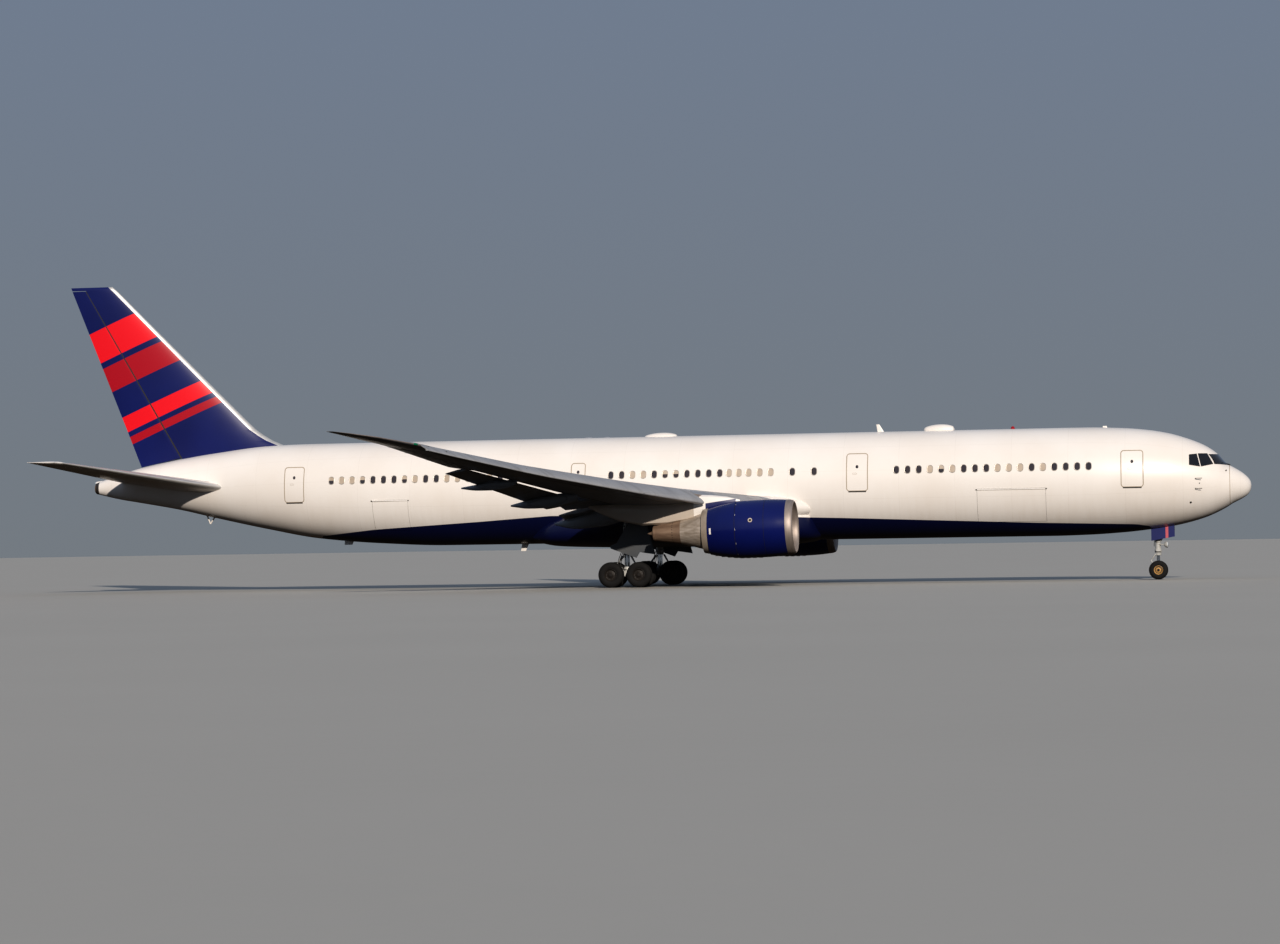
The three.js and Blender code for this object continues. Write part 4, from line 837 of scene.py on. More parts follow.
bulk = roundedOutline(46.4, -0.75, 0.5, 0.55, 0.1)
addSkinLine(seams, denseLine(bulk), doorSeams["width"] * 0.7, 1)
addGrid(seams, [skinRing(1.05 + d, lift) for d, lift in ((-0.014, 0.001), (0, 0.004), (0.014, 0.001))], wrap=True)
makePiece("door_seams", seams, ["sealant", "steel", "cabinGlass"],
          openFrom=outFromAxis)


# Cockpit panes: corners in station and height, or for the front pane in side and height
def noseStation(side, height):
    low, high = 0.01, 4.0
    for _ in range(40):
        middle = (low + high) / 2
        if skinLevel(middle, side, height) > 1:
            low = middle
        else:
            high = middle
    return high


def quadPoint(corners, u, v):
    a, b, c, d = corners
    low = [p + (q - p) * u for p, q in zip(a, b)]
    high = [p + (q - p) * u for p, q in zip(d, c)]
    return [p + (q - p) * v for p, q in zip(low, high)]


def insetQuad(corners, inset):
    middle = [sum(c[i] for c in corners) / 4 for i in (0, 1)]
    result = []
    for c in corners:
        away = [c[i] - middle[i] for i in (0, 1)]
        length = hypot(*away)
        result.append([c[i] - away[i] / length * inset * 1.3 for i in (0, 1)])
    return result


cockpit = {
    "inset": 0.026,
    "sidePanes": [[(3.01, 0.69), (2.47, 0.6), (2.63, 1.25), (3.01, 1.21)],
                  [(2.43, 0.6), (1.83, 0.72), (2.12, 1.26), (2.58, 1.26)]],
    "frontPane": [(0.04, 0.66), (skinSide(1.78, 0.715), 0.715), (skinSide(2.07, 1.22), 1.22), (0.05, 1.22)],
}
panes = newSoup()
for side in (-1, 1):
    quads = [(quad, False) for quad in cockpit["sidePanes"]] + [(cockpit["frontPane"], True)]
    for quad, isFront in quads:
        for shrink, lift, finish in ((0.0, 0.006, 1), (cockpit["inset"], 0.014, 0)):
            corners = insetQuad(quad, shrink)
            rows = []
            for v in steps(0, 1, 8):
                row = []
                for u in steps(0, 1, 10):
                    x, z = quadPoint(corners, u, v)
                    if isFront:
                        station = noseStation(x, z)
                        point, out = skinSpot(station, side * x, z)
                        row.append(point + out * lift * model["scale"])
                    else:
                        row.append(onSkin(x, z, side, lift))
                rows.append(row)
            addGrid(panes, rows, finish)
# The panes are dark: painted shade of the cockpit behind
makePiece("cockpit_panes", panes, ["glass", "blackRubber"],
          replaces=["cockpit_glazing"], openFrom=lambda c: c - Vector((12.5, 0, 2.4)))
print("windows and doors made")


# Small fittings: domes, antennas, probes, drains, lights

def addDome(soup, front, back, base, rise, half, finish=0, side=0):
    rows = []
    for t in steps(0, 1, 18):
        shape = max(sin(pi * t ** 0.85), 0.0) ** 0.4
        station = front + (back - front) * t
        rows.append([at(station, side + half * shape * cos(a), base + rise * shape * max(sin(a), -0.3))
                     for a in steps(-0.3, pi + 0.3, 16)])
    addGrid(soup, rows, finish)


# A swept blade: foot and tip chords, as an aerofoil; up is 1 on the roof and -1 under the belly
def addBlade(soup, station, base, tall, chord, tipChord, sweep, up=1, thick=0.1, side=0, finish=0):
    rows = []
    for t in steps(0, 1, 6):
        wide = chord + (tipChord - chord) * t
        nose = station + sweep * t
        ring = []
        for a in steps(0, 2 * pi, 16)[:-1]:
            x = 0.5 - 0.5 * cos(a)
            y = copysign(thick * wide * 1.3 * sqrt(x) * (1 - x), sin(a))
            ring.append(at(nose + x * wide, side + y, base + up * tall * t))
        rows.append(ring)
    addGrid(soup, rows, finish, wrap=True, caps=True)


fittings = newSoup()
addDome(fittings, 14.63, 16.23, 2.74, 0.28, 0.32)
addDome(fittings, 28.8, 30.6, 2.64, 0.26, 0.36)
addBlade(fittings, 18.2, 2.66, 0.42, 0.34, 0.15, 0.26)
addBlade(fittings, 7.0, 2.62, 0.14, 0.26, 0.18, 0.06)
for front, back in ((32.35, 32.7), (33.25, 33.75)):  # low covers behind the rear dome
    addDome(fittings, front, back, 2.68, 0.08, 0.1, 1)
addBlade(fittings, 46.05, -2.38, 0.22, 0.5, 0.42, 0.1, -1)
addBlade(fittings, 36.72, -2.7, 0.36, 0.36, 0.26, 0.16, -1)
for station, height in ((53.62, -1.02), (54.04, -0.92)):  # tail skid
    addBar(fittings, at(station, 0, height), at(53.86, 0, -1.4), 0.045, 0.03)
makePiece("domes_and_antennas", fittings, ["white", "wing"])

lampShapes = {
    "beacon": [(0, 0.11), (0.03, 0.11), (0.1, 0.09), (0.15, 0.045), (0.16, 0.0)],
    "tailBody": [(0, 0.03), (0.04, 0.07), (0.3, 0.075), (0.42, 0.07)],
    "tailLens": [(0, 0.06), (0.06, 0.055), (0.1, 0.035), (0.12, 0.0)],
}
lamps = newSoup()
for station, base, up in ((11.73, 2.69, 1), (27.2, -2.95, -1)):  # one on the roof and one below
    addTurned(lamps, at(station, 0, base), at(station, 0, base + up), lampShapes["beacon"], 24)
makePiece("beacons", lamps, ["redLens"])
tailLight = newSoup()
addTurned(tailLight, at(59.7, 0, 0.93), at(60.22, 0, 0.86), lampShapes["tailBody"], 20)
addTurned(tailLight, at(60.11, 0, 0.875), at(60.25, 0, 0.856), lampShapes["tailLens"], 20, 1)
makePiece("tail_light", tailLight, ["white", "lens"])

probes = newSoup()
for side in (-1, 1):
    for station, height in ((2.72, 0.02), (2.72, -0.46)):  # pitot tubes
        point, out = skinSpot(station, side * skinSide(station, height), height)
        k = model["scale"]
        elbow = point + out * 0.12 * k
        addTube(probes, smoothPath([point, point + out * 0.08 * k, elbow + Vector((0.08, 0, 0)) * k,
                                    elbow + Vector((0.3, 0, 0)) * k]), 0.016)
    vane, out = skinSpot(1.24, side * skinSide(1.24, 0.38), 0.38)
    addBar(probes, vane, vane + out * 0.04, 0.03)
    for station, height, radius in ((2.96, -1.16, 0.055), (2.52, -0.22, 0.03)):
        port, out = skinSpot(station, side * skinSide(station, height), height)
        addBar(probes, port - out * 0.004, port + out * 0.004, radius)
    wiper = [at(noseStation(y, z), side * y, z) + Vector((0.012, 0, 0.006))
             for y, z in ((0.12, 0.66), (0.2, 0.72), (0.8, 0.78))]
    addTube(probes, smoothPath(wiper), 0.014)
makePiece("probes_and_wipers", probes, ["steel"])

# Ring of the exhaust in the tail cone
exhaustRing = newSoup()
addGrid(exhaustRing, [ringAt(at(s, 0, 0.58), Vector((0, 1, 0)), Vector((0, 0, 1)), r * model["scale"], 48)
                      for s, r in ((60.02, 0.262), (60.13, 0.25), (60.15, 0.235), (60.0, 0.21), (60.02, 0.262))],
        wrap=True)
makePiece("exhaust_ring", exhaustRing, ["hot"])

# Fairing between wing and body

bodyFairing = {
    "rows": [(21.4, -2.6, -1.9, 1.2), (21.8, -2.78, -1.2, 2.25), (22.8, -2.9, -0.6, 2.8),
             (25.5, -2.97, -0.4, 3.02),
             (30.5, -2.97, -0.42, 3.02), (33.2, -2.92, -0.8, 2.85), (35.0, -2.84, -1.4, 2.45),
             (36.2, -2.62, -1.9, 1.3)],
    "power": 3, "sides": 72,
}


def ovalRing(station, bottom, top, half, power, sides, side=0.0):
    ring = []
    for i in range(sides):
        angle = 2 * pi * i / sides
        up, aside = [copysign(abs(v) ** (2 / power), v) for v in (cos(angle), sin(angle))]
        ring.append(at(station, side + half * aside, (top + bottom) / 2 + (top - bottom) / 2 * up))
    return ring


soup = newSoup()
spots = sorted(set(steps(21.4, 36.2, 60) + [21.45, 21.5, 21.55, 36.1]))
addGrid(soup, [ovalRing(*rowAt(bodyFairing["rows"], s), bodyFairing["power"], bodyFairing["sides"])
               for s in spots],
        wrap=True, caps=True)
makePiece("wing_body_fairing_skin", soup, ["livery"], replaces=["wing_body_fairing"])
print("fairing made")

# Wings, tail and their moving surfaces. Rows hold the span, the nose's station and height,
# the tail's station and height, and the thickness as part of the chord.
surfaces = {
    "wing": [(1.9, 22.16, -1.22, 32.95, -1.5, 0.15), (7.9, 26.3, -0.52, 33.44, -0.55, 0.122),
             (8.65, 26.82, -0.42, 33.5, -0.44, 0.12), (11.7, 28.93, -0.05, 34.65, 0.03, 0.112),
             (17.2, 32.73, 0.73, 36.73, 0.91, 0.104), (22.0, 36.04, 1.6, 38.55, 1.83, 0.096),
             (22.8, 36.6, 1.76, 38.87, 1.93, 0.095), (24.6, 38.05, 2.08, 39.45, 2.14, 0.09),
             (25.6, 39.2, 2.26, 39.9, 2.29, 0.08), (25.96, 39.75, 2.33, 40.05, 2.34, 0.08)],
    # Glove ahead of the wing's root
    "glove": [(1.9, 21.5, -1.16, 32.95, -1.5, 0.136), (2.45, 21.85, -1.13, 32.98, -1.42, 0.135),
              (2.8, 22.3, -1.1, 33.0, -1.38, 0.137), (3.1, 22.8, -1.07, 33.03, -1.34, 0.14),
              (3.3, 23.2, -1.05, 33.05, -1.32, 0.143)],
    "stabilizer": [(0.3, 51.65, 0.27, 58.42, 0.82, 0.1), (9.1, 58.58, 1.7, 60.33, 1.73, 0.09),
                   (9.31, 58.95, 1.73, 60.38, 1.75, 0.07)],
    "fin": [(1.2, 47.9, 0, 57.43, 0, 0.09), (2.3, 48.75, 0, 57.87, 0, 0.09), (2.69, 49.83, 0, 58.02, 0, 0.094),
            (2.92, 50.37, 0, 58.11, 0, 0.097), (3.19, 50.82, 0, 58.22, 0, 0.1), (3.51, 51.28, 0, 58.34, 0, 0.103),
            (3.95, 51.74, 0, 58.52, 0, 0.104), (11.0, 58.83, 0, 61.33, 0, 0.095),
            (11.26, 59.13, 0, 61.42, 0, 0.09)],
}
# Hinge lines as span and station at two places, with the bay's ends and the play at both ends
hinged = {
    "aileron_inboard": {"of": "wing", "bay": (6.82, 8.7), "part": 0.77, "droop": 12, "play": (0.11, 0.14)},
    "aileron_outboard": {"of": "wing", "bay": (17.3, 21.72), "part": 0.76, "droop": 0, "play": (0.05, 0.05)},
    "elevator": {"of": "stabilizer", "bay": (1.48, 8.95), "part": 0.7, "droop": 0, "play": (0.05, 0.06)},
    "rudder": {"of": "fin", "bay": (1.2, 11.1), "line": ((0.9, 54.688), (11.0, 60.574)), "droop": 0,
               "play": (0, 0.04)},
}
slats = {
    "slat_inboard": {"ends": (3.35, 7.05), "chords": (1.0, 0.86), "tracks": (4.2, 6.3)},
    "slat_outboard": {"ends": (8.4, 22.75), "chords": (0.82, 0.5), "tracks": (9.6, 13.6, 17.6, 21.6)},
}
slatFit = {"forward": 0.55, "down": 0.3, "droop": radians(20)}
# Flaps: span, nose station and height, tail station and height at both ends
flaps = {
    "flap_inboard": ((3.25, 31.7, -1.62, 33.4, -2.0), (6.8, 32.0, -1.0, 33.7, -1.32)),
    "flap_outboard": ((8.72, 32.25, -0.62, 33.88, -1.04), (17.08, 35.88, 0.77, 36.88, 0.6)),
}
flapFit = {"thickness": 0.13, "spoilerEnd": 0.865, "rearSpar": 0.7, "gap": 0.03}
trackFairings = {
    6.1: [(29.8, -1.36, -1.05, 0.05), (30.7, -1.68, -0.95, 0.19), (31.6, -1.9, -1.0, 0.23),
          (33.0, -2.0, -1.4, 0.19),
          (34.05, -1.8, -1.7, 0.03)],
    10.8: [(31.9, -0.62, -0.3, 0.05), (32.6, -0.88, -0.3, 0.17), (33.3, -1.0, -0.4, 0.19),
           (34.3, -1.02, -0.6, 0.15),
           (35.2, -0.91, -0.83, 0.03)],
    14.7: [(34.0, 0.08, 0.3, 0.04), (34.5, -0.1, 0.3, 0.14), (35.1, -0.18, 0.3, 0.16), (35.9, -0.18, 0.12, 0.12),
           (36.7, -0.09, -0.02, 0.03)],
}


def sectionAt(rows, span, tipStart=None):
    k = next((n for n in range(1, len(rows)) if rows[n][0] >= span), len(rows) - 1)
    t = (span - rows[k - 1][0]) / (rows[k][0] - rows[k - 1][0])
    nose, noseHeight, tail, tailHeight, ratio = [a + (b - a) * t for a, b in zip(rows[k - 1][1:], rows[k][1:])]
    if tipStart and span > tipStart:  # the tip rounds off
        ratio *= sqrt(max(1 - ((span - tipStart) / (rows[-1][0] - tipStart)) ** 2, 0.01))
    return {"span": span, "nose": nose, "height": noseHeight, "chord": tail - nose,
            "slope": (tailHeight - noseHeight) / (tail - nose), "ratio": ratio}


def thickAt(section, aft):
    x = min(max(aft / section["chord"], 0), 1)
    shape = 0.2969 * sqrt(x) - 0.126 * x - 0.3516 * x ** 2 + 0.2843 * x ** 3 - 0.1036 * x ** 4
    return 5 * section["ratio"] * section["chord"] * shape + 0.008 * x


# Distances along the chord, closer together near the nose
def spaced(start, end, count):
    return [v * v for v in steps(sqrt(start), sqrt(end), count)]


# The outline of a section as aft and up, from its rear over the top to the nose and back below, with
# a finish for each part: 0 skin, 1 metal nose strip, 2 the faces of a bay, 4 the nose behind a slat
def outlineOf(section, front=None, rear=None, strip=0.0):
    topFront, bottomFront, nosePoints = front or (0.0, 0.0, [])
    topRear, bottomRear, rearPoints = rear or (section["chord"], section["chord"], [])
    top = spaced(topRear, strip or topFront, 16) + (spaced(strip, 0.0, 8)[1:] if strip else [])
    bottom = (spaced(0.0, strip, 8)[:-1] if strip else []) + spaced(strip or bottomFront, bottomRear, 16)
    if not nosePoints:
        bottom = bottom[1:]
    points = [(a, thickAt(section, a)) for a in top] + nosePoints
    points += [(a, -thickAt(section, a)) for a in bottom] + rearPoints
    kinds = [0] * len(top) + [4] * len(nosePoints) + [0] * len(bottom) + [2] * len(rearPoints)
    paint = []
    for i, kind in enumerate(kinds):
        other = (i + 1) % len(kinds)
        inStrip = strip and max(points[i][0], points[other][0]) <= strip + 0.0001
        paint.append(max(kind, kinds[other], 1 if inStrip else 0))
    return points, paint


def addSurface(soup, sections, outline, place):
    rows = []
    for section in sections:
        points, paint = outline(section)
        rows.append([place(section["nose"] + aft, section["height"] + section["slope"] * aft + up, section["span"])
                     for aft, up in points])
    addGrid(soup, rows, paint, wrap=True, caps=True)


# Distance of the hinge aft of a section's nose, and how far the slanted hinge stretches a round nose
def hingeOf(name):
    facts = hinged[name]
    rows = surfaces[facts["of"]]
    if "line" in facts:
        line = [(span, station, 0) for span, station in facts["line"]]
    else:
        ends = [sectionAt(rows, span) for span in facts["bay"]]
        line = [(s["span"], s["nose"] + facts["part"] * s["chord"],
                 s["height"] + s["slope"] * facts["part"] * s["chord"]) for s in ends]
    (span0, station0, height0), (span1, station1, height1) = line
    away = Vector((station1 - station0, span1 - span0, height1 - height0)).normalized()

    def aftOf(section):
        t = (section["span"] - span0) / (span1 - span0)
        return station0 + (station1 - station0) * t - section["nose"]
    return aftOf, 1 / sqrt(1 - away.x ** 2)


# The hollow edge that a hinged surface's round nose lies in
def coveRear(name):
    aftOf, stretch = hingeOf(name)

    def rear(section):
        centre = aftOf(section)
        inner = thickAt(section, centre)
        radius = inner + 0.012
        first = pi - asin(inner / radius)
        edge = centre + stretch * radius * cos(first)
        arc = [(centre + stretch * radius * cos(a), radius * sin(a))
               for a in steps(2 * pi - first, first, 12)[1:-1]]
        return edge, edge, arc
    return rear


def flapRear(section):
    chord = section["chord"]
    spar, end = flapFit["rearSpar"] * chord, flapFit["spoilerEnd"] * chord
    return end, spar, [(spar, 0.2 * thickAt(section, spar)),
                       (spar + 0.04 * chord, thickAt(section, spar + 0.04 * chord) - 0.07),
                       (end, thickAt(section, end) - 0.035)]


def slatChord(slat, span):
    (inner, outer), (first, last) = slats[slat]["ends"], slats[slat]["chords"]
    return first + (last - first) * (span - inner) / (outer - inner)


def slatFront(slat):
    def front(section):
        chord = slatChord(slat, section["span"])
        knots = [(1.02, 0.97), (0.55, 0.66), (0.34, 0.32), (0.28, -0.2), (0.34, -0.72), (0.52, -1)]
        path = smoothPath([Vector((x * chord, y * thickAt(section, x * chord))) for x, y in knots], 4)
        return 1.02 * chord, 0.52 * chord, [(p.x, p.y) for p in path[:-1]]
    return front


def slatOutline(slat):
    def outline(section):
        chord = slatChord(slat, section["span"])
        hingeUp = thickAt(section, chord)
        skin = [(x, -1) for x in reversed(spaced(0.0, 0.32, 8)[1:])] + [(x, 1) for x in spaced(0.0, 1.0, 16)]
        inner = smoothPath([Vector(p) for p in ((0.98, 0.93), (0.55, 0.6), (0.3, 0.28), (0.2, -0.2), (0.3, -0.8))],
                           4)
        points = []
        for x, y in skin + [(p.x, p.y) for p in inner]:
            dx, dz = (x - 1) * chord, y * thickAt(section, x * chord) - hingeUp
            turn = slatFit["droop"]
            points.append((chord + dx * cos(turn) + dz * sin(turn) - slatFit["forward"] * chord,
                           hingeUp + dz * cos(turn) + dx * sin(turn) - slatFit["down"] * hingeUp))
        return points, [0] * len(skin) + [1] * len(inner)
    return outline


def hingedOutline(name):
    aftOf, stretch = hingeOf(name)
    turn = radians(hinged[name]["droop"])

    def outline(section):
        centre, chord = aftOf(section), section["chord"]
        radius = 0.99 * thickAt(section, centre)
        arc = [(centre + stretch * radius * cos(a), radius * sin(a))
               for a in steps(pi / 2, 1.5 * pi, 14)[1:-1]]
        top = [(a, thickAt(section, a)) for a in steps(chord, centre, 10)]
        below = [(a, -u) for a, u in reversed(top)]
        points = [(centre + (a - centre) * cos(turn) + u * sin(turn),
                   u * cos(turn) - (a - centre) * sin(turn)) for a, u in top + arc + below]
        # The round nose takes the black second finish: painted shade in the hinge gap
        paint = [1 if len(top) - 1 <= i < len(top) + len(arc) else 0 for i in range(len(points))]
        return points, paint
    return outline


def addFlap(soup, ends, place):
    rows = []
    for span, nose, noseHeight, tail, tailHeight in ends:
        chord = hypot(tail - nose, tailHeight - noseHeight)
        along, rise = (tail - nose) / chord, (tailHeight - noseHeight) / chord
        shape = [(0, 0.0), (0.03, 0.5), (0.15, 0.95), (0.35, 1), (0.7, 0.55), (1, 0.06)]
        top = [rowAt(shape, v, sqrt) for v in spaced(1.0, 0.0, 18)]
        ring = []
        for x, y in top + [(x, -0.8 * y) for x, y in reversed(top[:-1])]:
            up = 0.5 * flapFit["thickness"] * chord * y
            ring.append(place(nose + along * x * chord - rise * up, noseHeight + rise * x * chord + along * up,
                              span))
        rows.append(ring)
    addGrid(soup, rows, 0, wrap=True, caps=True)


# A thin dark seam along a surface, through spans and parts of the chord
def addSeam(soup, rows, place, spots, up=1, width=0.012, finish=0):
    path = []
    for (span0, part0), (span1, part1) in zip(spots, spots[1:]):
        for t in steps(0, 1, 8):
            section = sectionAt(rows, span0 + (span1 - span0) * t)
            aft = (part0 + (part1 - part0) * t) * section["chord"]
            path.append(place(section["nose"] + aft, section["height"] + section["slope"] * aft
                              + up * (thickAt(section, aft) - 0.3 * width), section["span"]))
    path = [p for n, p in enumerate(path) if n == 0 or (p - path[n - 1]).length > 0.001]
    addTube(soup, path, width, 6, finish)


# The glove ends inside the wing and has the body's paint
def gloveOutline(section):
    back = 27.5 - section["nose"]
    points, _ = outlineOf(section, None, (back, back, []))
    return points, [3] * len(points)


wingSpans = [  # from, to, slat in front, what lies behind, steps
    (1.9, 3.22, None, None, 3), (3.22, 3.35, None, "flap", 1), (3.35, 6.82, "slat_inboard", "flap", 5),
    (6.82, 7.05, "slat_inboard", "aileron_inboard", 1), (7.05, 8.4, None, "aileron_inboard", 4),
    (8.4, 8.7, "slat_outboard", "aileron_inboard", 1), (8.7, 17.11, "slat_outboard", "flap", 12),
    (17.11, 17.3, "slat_outboard", None, 1), (17.3, 21.72, "slat_outboard", "aileron_outboard", 6),
    (21.72, 22.75, "slat_outboard", None, 2), (22.75, 25.96, None, None, 30),
]
wingSeams = [  # spoilers, spars and panels on top
    [(3.4, 0.86), (3.4, 0.72), (6.7, 0.72), (6.7, 0.86)], [(5.05, 0.72), (5.05, 0.86)],
    [(8.95, 0.86), (8.95, 0.73), (16.6, 0.73), (16.6, 0.86)], [(10.9, 0.73), (10.9, 0.86)],
    [(12.8, 0.73), (12.8, 0.86)], [(14.7, 0.73), (14.7, 0.86)], [(22.3, 0.02), (22.3, 0.98)],
    [(3.4, 0.16), (22.7, 0.24)], [(3.4, 0.66), (17.2, 0.68), (22.2, 0.7)],
]
# The third finish, dark grey in coves, flap bays and slat tracks, is painted shade
wingFinishes = ["wing", "lip", "bayPrimer", "livery", "slat"]
for sideName, side in (("right", -1), ("left", 1)):
    prefix = sideName + "_"

    def wingPlace(station, height, span, side=side):
        return at(station, side * span, height)

    rows = surfaces["wing"]
    soup = newSoup()
    for start, end, slat, behind, count in wingSpans:
        front = slatFront(slat) if slat else None
        rear = {None: None, "flap": flapRear}.get(behind) or (coveRear(behind) if behind else None)
        addSurface(soup, [sectionAt(rows, s, 25.2) for s in steps(start, end, count)],
                   lambda s, f=front, r=rear: outlineOf(s, f and f(s), r and r(s), 0.0 if f else 0.02), wingPlace)
    addSurface(soup, [sectionAt(surfaces["glove"], s) for s in steps(1.9, 3.3, 10)],
               gloveOutline, wingPlace)
    for aside, sections in trackFairings.items():
        addGrid(soup, [ovalRing(*rowAt(sections, s), 2.3, 28, side * aside)
                       for s in steps(sections[0][0], sections[-1][0], 28)], 0, wrap=True, caps=True)
    for slat, facts in slats.items():
        for span in facts["tracks"]:
            section, chord = sectionAt(rows, span), slatChord(slat, span)
            outline = [(0.9 * chord, -0.06), (0.9 * chord, 0.05), (-0.2 * chord, -0.13 * chord + 0.03),
                       (-0.2 * chord, -0.13 * chord - 0.04)]
            addSurface(soup, [{**section, "span": span + d} for d in (-0.03, 0.03)], lambda s: (outline, [2] * 4),
                       wingPlace)
    addBar(soup, wingPlace(29.2, -0.9, 6.0), wingPlace(29.2, -1.33, 6.0), 0.08, segments=20)
    makePiece(prefix + "wing_skin", soup, wingFinishes, replaces=[prefix + "wing"])

    seams = newSoup()
    for spots in wingSeams:
        addSeam(seams, rows, wingPlace, spots)
    for spots in ([(3.4, 0.16), (22.7, 0.24)], [(3.4, 0.62), (22.2, 0.66)]):
        addSeam(seams, rows, wingPlace, spots, -1)
    for span in (18.6, 20.2, 21.4, 23.6, 24.4):  # static wicks
        section = sectionAt(rows, span)
        tail = wingPlace(section["nose"] + section["chord"] - 0.03,
                         section["height"] + section["slope"] * section["chord"], span)
        addBar(seams, tail, tail + Vector((-0.09, 0, 0)), 0.007, 0.003, 6)
    makePiece(prefix + "wing_seams", seams, ["wingSealant"])
    tipLight = newSoup()  # red on the left tip, green on the right
    inner, outer = [sectionAt(rows, span) for span in (22.88, 23.1)]
    addTurned(tipLight, wingPlace(inner["nose"] + 0.02, inner["height"], inner["span"]),
              wingPlace(outer["nose"] + 0.02, outer["height"], outer["span"]),
              [(0, 0.0), (0.02, 0.04), (0.1, 0.06), (0.2, 0.05), (0.24, 0.0)], 16)
    makePiece(prefix + "wing_tip_light", tipLight, ["greenLens" if side < 0 else "redLens"])

    for slat, facts in slats.items():
        soup = newSoup()
        first, last = facts["ends"]
        addSurface(soup, [sectionAt(rows, s) for s in steps(first + 0.03, last - 0.03, 12)], slatOutline(slat),
                   wingPlace)
        # The slat's inner face takes the dark grey painted shade
        makePiece(f"{prefix}{slat}_skin", soup, ["slat", "bayPrimer"],
                  replaces=[prefix + slat])
    for flap, ends in flaps.items():
        soup = newSoup()
        addFlap(soup, ends, wingPlace)
        makePiece(f"{prefix}{flap}_skin", soup, ["wing"], replaces=[prefix + flap])
    for name, body in (("aileron_inboard", "inboard_aileron"), ("aileron_outboard", "outboard_aileron"),
                       ("elevator", "elevator_surface")):
        facts = hinged[name]
        first, last = facts["bay"][0] + facts["play"][0], facts["bay"][1] - facts["play"][1]
        soup = newSoup()
        addSurface(soup, [sectionAt(surfaces[facts["of"]], s) for s in steps(first, last, 10)],
                   hingedOutline(name), wingPlace)
        paint = "white" if name == "elevator" else "wing"
        # Black on the round nose is painted shade in the hinge gap
        makePiece(f"{prefix}{name}_skin", soup, [paint, "blackRubber"], prefix + body,
                  [prefix + name])

    rows = surfaces["stabilizer"]
    soup = newSoup()
    for start, end, behind, count in ((0.3, 1.48, None, 2), (1.48, 8.95, "elevator", 8), (8.95, 9.31, None, 12)):
        rear = coveRear(behind) if behind else None
        addSurface(soup, [sectionAt(rows, s, 9.14) for s in steps(start, end, count)],
                   lambda s, r=rear: outlineOf(s, None, r and r(s), 0.2 if s["span"] < 8.96 else 0.02), wingPlace)
    for spots in ([(1.6, 0.12), (8.9, 0.2)], [(1.6, 0.6), (8.9, 0.58)]):
        addSeam(soup, rows, wingPlace, spots, finish=3)
    # Its cove takes the dark grey painted shade
    makePiece(prefix + "stabilizer_skin", soup, ["white", "edge", "bayPrimer", "wingSealant"],
              replaces=[prefix + "stabilizer"])


def tailCutter():
    soup = newSoup()
    addGrid(soup, [skinRing(s, 0.03) for s in steps(50, 60, 60)], wrap=True, caps=True)
    return cutterFrom(soup, "navy")


# The fin stands up, so its span is a height
rows = surfaces["fin"]
soup = newSoup()
spans = sorted(set(steps(1.9, 11.1, 46) + [row[0] for row in rows if 1.9 < row[0] < 11.1]))
addSurface(soup, [sectionAt(rows, s) for s in spans],
           lambda s: outlineOf(s, None, coveRear("rudder")(s), 0.34 - 0.01 * s["span"]), at)
addSurface(soup, [sectionAt(rows, s, 11.1) for s in steps(11.1, 11.26, 10)], lambda s: outlineOf(s, strip=0.23),
           at)
# The fin's cove is black: painted shade in the rudder's hinge gap
makePiece("fin_skin", soup, ["tail", "edge", "blackRubber"], replaces=["fin"])
soup = newSoup()
facts = hinged["rudder"]
addSurface(soup, [sectionAt(rows, s) for s in steps(facts["bay"][0], facts["bay"][1] - facts["play"][1], 30)],
           hingedOutline("rudder"), at)
# The rudder's round nose is black: painted shade in the hinge gap
rudder = makePiece("rudder_skin", soup, ["tail", "blackRubber"], "rudder_surface", ["rudder"])
# Its foot clears the fuselage at every angle
foot, head = [at(station, 0, span) for span, station in facts["line"]]
for degrees in (-26, 0, 26):
    cutter = tailCutter()
    swing = Matrix.Rotation(radians(degrees), 4, head - foot)
    cutter.matrix_world = Matrix.Translation(foot) @ swing @ Matrix.Translation(-foot)
    cutOut(rudder, cutter)
print("wings and tail made")

# Engines

engine = {
    "side": 7.92, "station": 21.75, "height": -2.08, "tilt": radians(1.8), "segments": 96,
    "cowl": [(0.36, 1.345), (0.9, 1.387), (1.55, 1.405), (2.5, 1.398), (3.5, 1.3), (4.18, 1.165)],
    "coreRows": [(3.34, 0.94), (4.48, 0.88), (5.0, 0.74), (5.6, 0.585), (6.98, 0.355)],
    "blades": 36, "hub": 0.37, "tip": 1.172,
}


def enginePlace(side):
    t = engine["tilt"]
    forward, up = Vector((cos(t), 0, sin(t))), Vector((-sin(t), 0, cos(t)))
    left = Vector((0, 1, 0))
    lip = at(engine["station"], side * engine["side"], engine["height"])

    def place(aft, radius, angle):
        out = cos(angle) * up + sin(angle) * left
        return lip + model["scale"] * (out * radius - forward * aft)
    return place


def addSpun(soup, place, profile, finish=0, segments=None):
    segments = segments or engine["segments"]
    angles = [2 * pi * i / segments for i in range(segments)]
    rows = [[place(aft, max(radius, 0.0004), a) for a in angles] for aft, radius in profile]
    addGrid(soup, rows, finish, wrap=True)


